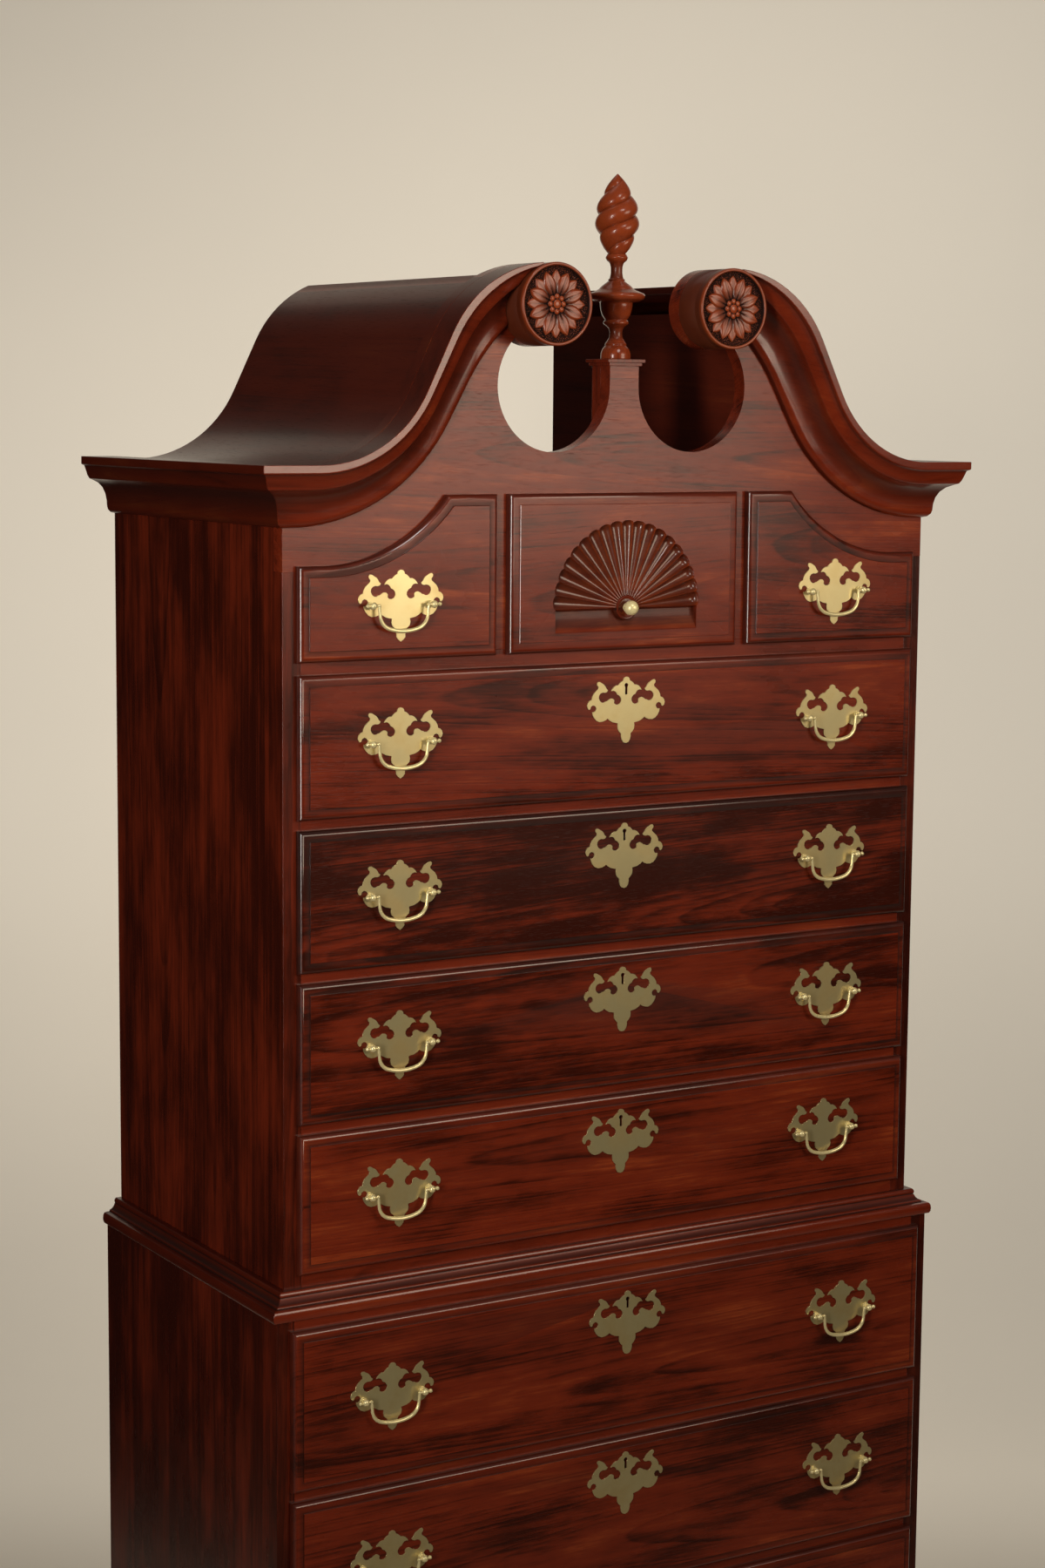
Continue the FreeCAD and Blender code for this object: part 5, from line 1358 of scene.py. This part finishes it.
class CHEST_OT_rosettes(bpy.types.Operator):
    """Make the two carved rosettes that end the swan necks"""

    bl_idname = "chest.rosettes"
    bl_label = "Rosettes"

    def execute(self, context):
        low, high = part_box("rosettes")
        radius = (high[2] - low[2]) / 2
        pieces = []
        for side in (-1, 1):
            centre = Vector((side * (high[0] - radius), low[1], (low[2] + high[2]) / 2))
            pieces.append(self.drum(centre, radius, high[1] - low[1]))
            pieces.append(self.ground(centre, radius - ROSETTE_RIM - 0.3 * MM, 11 + side))
            pieces += self.flower(centre, context.scene.chest_carving)
        obj = softened(joined("rosettes_carved", pieces), EDGE_ANGLE * 1.5)
        grained(obj, tone=0.12)
        painted(obj, bpy.data.materials["cherry_turned"])
        glaze = marks(obj.data, "glaze")
        # Faces carrying the most painted shade take the dark ground material.
        covered(obj, "punched_ground", lambda part: glaze[list(part.vertices)].min() > 0.85)
        settled(obj, CASE, "case_wood", "rosettes")
        return {"FINISHED"}

    def flower(self, centre, carving):
        """Two rings of petals, a ring of lobes and a button in a dark well."""
        long, wide, petals = carving.petal_length, carving.petal_width, carving.petals
        back = petal("back petal", long, wide * 0.95, 3.2 * MM, 11 * MM,
                     0.2 * MM - ROSETTE_FLOOR, 0.7 * MM, 0.8 * MM)
        front = petal("front petal", long, wide, 4.8 * MM, 10.5 * MM,
                      0.7 * MM - ROSETTE_FLOOR, 0.9 * MM, 1.3 * MM)
        lobe = shifted(dome("lobe", 3.3 * MM, 1.5 * MM, -2.2 * MM, 20, 5), (8.4 * MM, 0, 0))
        # Painted shade: the well round the button is dark.
        well = glazed_and_shaded(dome("well", 7.6 * MM, 0.9 * MM, -1.9 * MM), 0.9)
        button = dome("button", 5.6 * MM, 2.0 * MM, -2.1 * MM)
        return [ring_of(back, petals, 0.0, centre),
                ring_of(front, petals, math.pi / petals, centre),
                ring_of(lobe, petals, 0.0, centre), shifted(well, centre),
                shifted(button, centre)]

    def drum(self, centre, radius, length):
        """The turned block: a recess inside a rim, and a groove round its side."""
        profile = [(0.5 * MM, -length), (radius - 1 * MM, -length),
                   (radius - 0.2 * MM, 0.6 * MM - length)]
        profile += [(radius - inset * MM, out * MM) for inset, out in DRUM_SIDE]
        profile.append((0.5 * MM, -ROSETTE_FLOOR))
        spots, faces = lathe(profile, 96)
        # Painted shade: dark inside the recess and on the side and back, light on the rim and
        # face.
        dark = []
        for right, up, height in spots:
            inside = math.hypot(right, up) < radius - ROSETTE_RIM + 0.5 * MM
            dark.append(0.95 if inside and -2 * ROSETTE_FLOOR < height < -0.8 * MM
                        else 0.8 if height < -2 * MM else 0.2)
        return shifted(outward(standing("drum", spots, faces, dark)), centre)

    def ground(self, centre, radius, seed):
        """The round floor of the recess with its punched ground."""
        level = 0.05 * MM - ROSETTE_FLOOR
        spots, faces = lathe([(0.8 * MM, level), (radius, level)], 64, False)
        # Painted shade: the recess floor carries the full dark mark.
        disc = shifted(standing("ground", spots, faces, 1.0), centre)
        return outward(worked(disc, bpy.data.node_groups["Punched ground"],
                              Spacing=1.5 * MM, Grain=0.62 * MM, Seed=seed))


class CHEST_OT_finial(bpy.types.Operator):
    """Make the plinth, the turned urn and its twisted flame"""

    bl_idname = "chest.finial"
    bl_label = "Plinth and finial"

    def execute(self, context):
        carving = context.scene.chest_carving
        wooden("finial_plinth", "finial_plinth_block", CASE, "case_wood", "cherry_case")
        low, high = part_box("finial")
        axis = Vector(((low[0] + high[0]) / 2, (low[1] + high[1]) / 2, high[2] - FINIAL_TALL))
        profile = [(DOWEL_RADIUS, -FINIAL_DOWEL), (DOWEL_RADIUS, 0.0)]
        profile += [(FINIAL_RADIUS * wide, FINIAL_TALL * rise) for wide, rise in FINIAL_SHARES]
        profile.append((4 * MM, FINIAL_TALL * FINIAL_SHARES[-1][1] + 3 * MM))
        spots, faces = lathe(self.smooth(profile), 72)
        urn = shifted(outward(new_object("urn", mesh_from("urn", spots, faces))), axis)
        seed = new_object("flame", mesh_from("flame", [(0, 0, 0)], []))
        foot = axis + Vector((0, 0, FINIAL_TALL - FLAME_TALL))
        flame = worked(seed, bpy.data.node_groups["Twisted flame"], Height=FLAME_TALL,
                       Radius=carving.flame_radius, Pitch=carving.flame_pitch,
                       Waist=carving.flame_waist, Foot=foot)
        flame = outward(reshaped(flame, lambda form: bmesh.ops.holes_fill(
            form, edges=[edge for edge in form.edges if edge.is_boundary], sides=0)))
        obj = softened(joined("finial_flame", [urn, flame]), math.radians(55))
        grained(obj, along=2, tone=0.06)
        self.darken(obj, axis)
        painted(obj, bpy.data.materials["cherry_turned"])
        settled(obj, CASE, "case_wood", "finial")
        return {"FINISHED"}

    def smooth(self, profile):
        """Runs an even curve through the points of a profile."""
        fine = []
        ends = [profile[0]] + profile + [profile[-1]]
        for p0, p1, p2, p3 in zip(ends, ends[1:], ends[2:], ends[3:]):
            for part in (0.0, 0.25, 0.5, 0.75):
                fine.append(tuple(self.along(part, *pair) for pair in zip(p0, p1, p2, p3)))
        fine.append(profile[-1])
        return fine

    def along(self, part, a, b, c, d):
        """A value between b and c on a soft curve through a, b, c and d."""
        bend = (2 * a - 5 * b + 4 * c - d) * part ** 2 + (3 * b - a - 3 * c + d) * part ** 3
        return b + 0.35 * ((c - a) * part + bend) + 0.3 * (c - b) * part

    def darken(self, obj, axis):
        """Paints dark glazing and painted shade into the grooves of the flame and the necks of
        the urn.
        """
        spots = coordinates(obj.data)
        reach = np.hypot(spots[:, 0] - axis.x, spots[:, 1] - axis.y)
        rise = (spots[:, 2] - axis.z) / FINIAL_TALL
        start = 1 - FLAME_TALL / FINIAL_TALL
        share = np.clip((rise - start) / (1 - start), 0, 1)
        table = np.array(FLAME_SHARES)
        outline = np.interp(share, table[:, 0], table[:, 1])
        outline = outline * bpy.context.scene.chest_carving.flame_radius
        low = np.clip((0.86 - reach / np.maximum(outline, 1e-5)) / 0.1, 0, 1)
        neck = np.clip((0.3 - reach / FINIAL_RADIUS) / 0.16, 0, 0.5)
        glazed_and_shaded(obj, np.where(rise > start + 0.004, low * 0.45, neck))


class CHEST_OT_stage(bpy.types.Operator):
    """Make the floor, the lights and the camera"""

    bl_idname = "chest.stage"
    bl_label = "Stage"

    def execute(self, context):
        room = context.scene.chest_stage
        ahead = Vector((*AHEAD, 0.0))
        right = Vector((AHEAD[1], -AHEAD[0], 0.0))
        bend = WALL_AT - WALL_ROUND
        outline = [(FLOOR_FRONT, 0.0), (0.0, 0.0), (bend, 0.0)]
        for step in range(1, 13):
            angle = step * math.pi / 24
            outline.append((bend + WALL_ROUND * math.sin(angle),
                            WALL_ROUND - WALL_ROUND * math.cos(angle)))
        outline.append((WALL_AT, WALL_TOP))
        spots = [ahead * depth + right * side + Vector((0, 0, height - FLOOR_DROP))
                 for depth, height in outline for side in STAGE_SIDES]
        faces = [(corner, corner + 1, corner + 3, corner + 2)
                 for corner in range(0, len(spots) - 2, 2)]
        floor = new_object("floor", mesh_from("floor", spots, faces))
        floor.data.shade_smooth()
        painted(floor, plain_material("studio_floor", room.floor, 0.75, 3.0, room.glow))
        for name, place, target, size, colour, spread in LIGHTS:
            self.light(name, getattr(room, name), place, target, size, colour, spread)
        self.world(context)
        self.camera(context)
        context.scene.view_settings.view_transform = "Standard"
        return {"FINISHED"}

    def light(self, name, power, place, target, size, colour, spread):
        """Adds one soft light; its spread in degrees keeps it to what it is aimed at."""
        lamp = bpy.data.lights.new(name, "AREA")
        lamp.energy = power
        lamp.shape = "RECTANGLE"
        lamp.size, lamp.size_y = size
        lamp.color = colour
        lamp.spread = math.radians(spread)
        obj = bpy.data.objects.new(name, lamp)
        obj.location = place
        obj.visible_camera = False
        way = Vector(target) - Vector(place)
        obj.rotation_euler = way.to_track_quat("-Z", "Y").to_euler()
        bpy.context.scene.collection.objects.link(obj)

    def world(self, context):
        """Dim light from all round, brighter above, and a plain pale ground for the camera."""
        room = context.scene.chest_stage
        world = bpy.data.worlds.new("room")
        context.scene.world = world
        world.use_nodes = True
        graph = Graph(world.node_tree)
        place = graph.out("ShaderNodeTexCoord", None, "Generated")
        up = graph.out("ShaderNodeSeparateXYZ", {0: place}, 2)
        sky = graph.blend(graph.between(up, 0.0, 0.8), (0.1, 0.088, 0.075, 1.0),
                          (0.9, 0.84, 0.76, 1.0))
        light = world.node_tree.nodes["Background"]
        graph.feed(light, {"Color": sky, "Strength": room.sky})
        seen = graph.out("ShaderNodeBackground", {"Color": (*room.floor, 1.0), "Strength": 0.8})
        camera = graph.out("ShaderNodeLightPath", None, "Is Camera Ray")
        both = graph.out("ShaderNodeMixShader", {0: camera, 1: Value(graph, light.outputs[0]),
                                                 2: seen})
        graph.feed(world.node_tree.nodes["World Output"], {"Surface": both})

    def camera(self, context):
        """Sets the camera where the photograph was taken."""
        lens = bpy.data.cameras.new("camera")
        lens.lens = LENS
        lens.sensor_width = 36.0
        lens.clip_end = 50.0
        camera = bpy.data.objects.new("camera", lens)
        camera.matrix_world = Matrix(CAMERA_ROWS)
        context.scene.collection.objects.link(camera)
        context.scene.camera = camera


class CHEST_PT_panel(bpy.types.Panel):
    """The chest's sizes, colours and steps"""

    bl_idname = "CHEST_PT_panel"
    bl_label = "Chest-on-chest"
    bl_space_type = "VIEW_3D"
    bl_region_type = "UI"
    bl_category = "Chest"

    def draw(self, context):
        layout = self.layout
        for label, group in (("Wood", context.scene.chest_wood),
                             ("Brass", context.scene.chest_brass),
                             ("Carving", context.scene.chest_carving),
                             ("Stage", context.scene.chest_stage)):
            box = layout.box()
            box.label(text=label)
            for name in group.bl_rna.properties.keys():
                if name not in ("rna_type", "name"):
                    box.prop(group, name)
        column = layout.column(align=True)
        for operator in OPERATORS:
            column.operator(operator.bl_idname)


SETTINGS = {"chest_wood": ChestWoodSettings, "chest_brass": ChestBrassSettings,
            "chest_carving": ChestCarvingSettings, "chest_stage": ChestStageSettings}
OPERATORS = (CHEST_OT_materials, CHEST_OT_case, CHEST_OT_mouldings, CHEST_OT_bonnet,
             CHEST_OT_feet, CHEST_OT_fronts, CHEST_OT_fan, CHEST_OT_boxes, CHEST_OT_brasses,
             CHEST_OT_rosettes, CHEST_OT_finial, CHEST_OT_stage)


def register():
    """Registers the settings, the operators and the panel."""
    for kind in (*SETTINGS.values(), *OPERATORS, CHEST_PT_panel):
        bpy.utils.register_class(kind)
    for name, kind in SETTINGS.items():
        setattr(bpy.types.Scene, name, PointerProperty(type=kind))


def unregister():
    """Takes the settings, the operators and the panel away."""
    for name in SETTINGS:
        delattr(bpy.types.Scene, name)
    for kind in reversed((*SETTINGS.values(), *OPERATORS, CHEST_PT_panel)):
        bpy.utils.unregister_class(kind)


def main():
    """Dresses the frame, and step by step."""
    register()
    for operator in OPERATORS:
        section, name = operator.bl_idname.split(".")
        getattr(getattr(bpy.ops, section), name)()


if __name__ == "__main__":
    main()
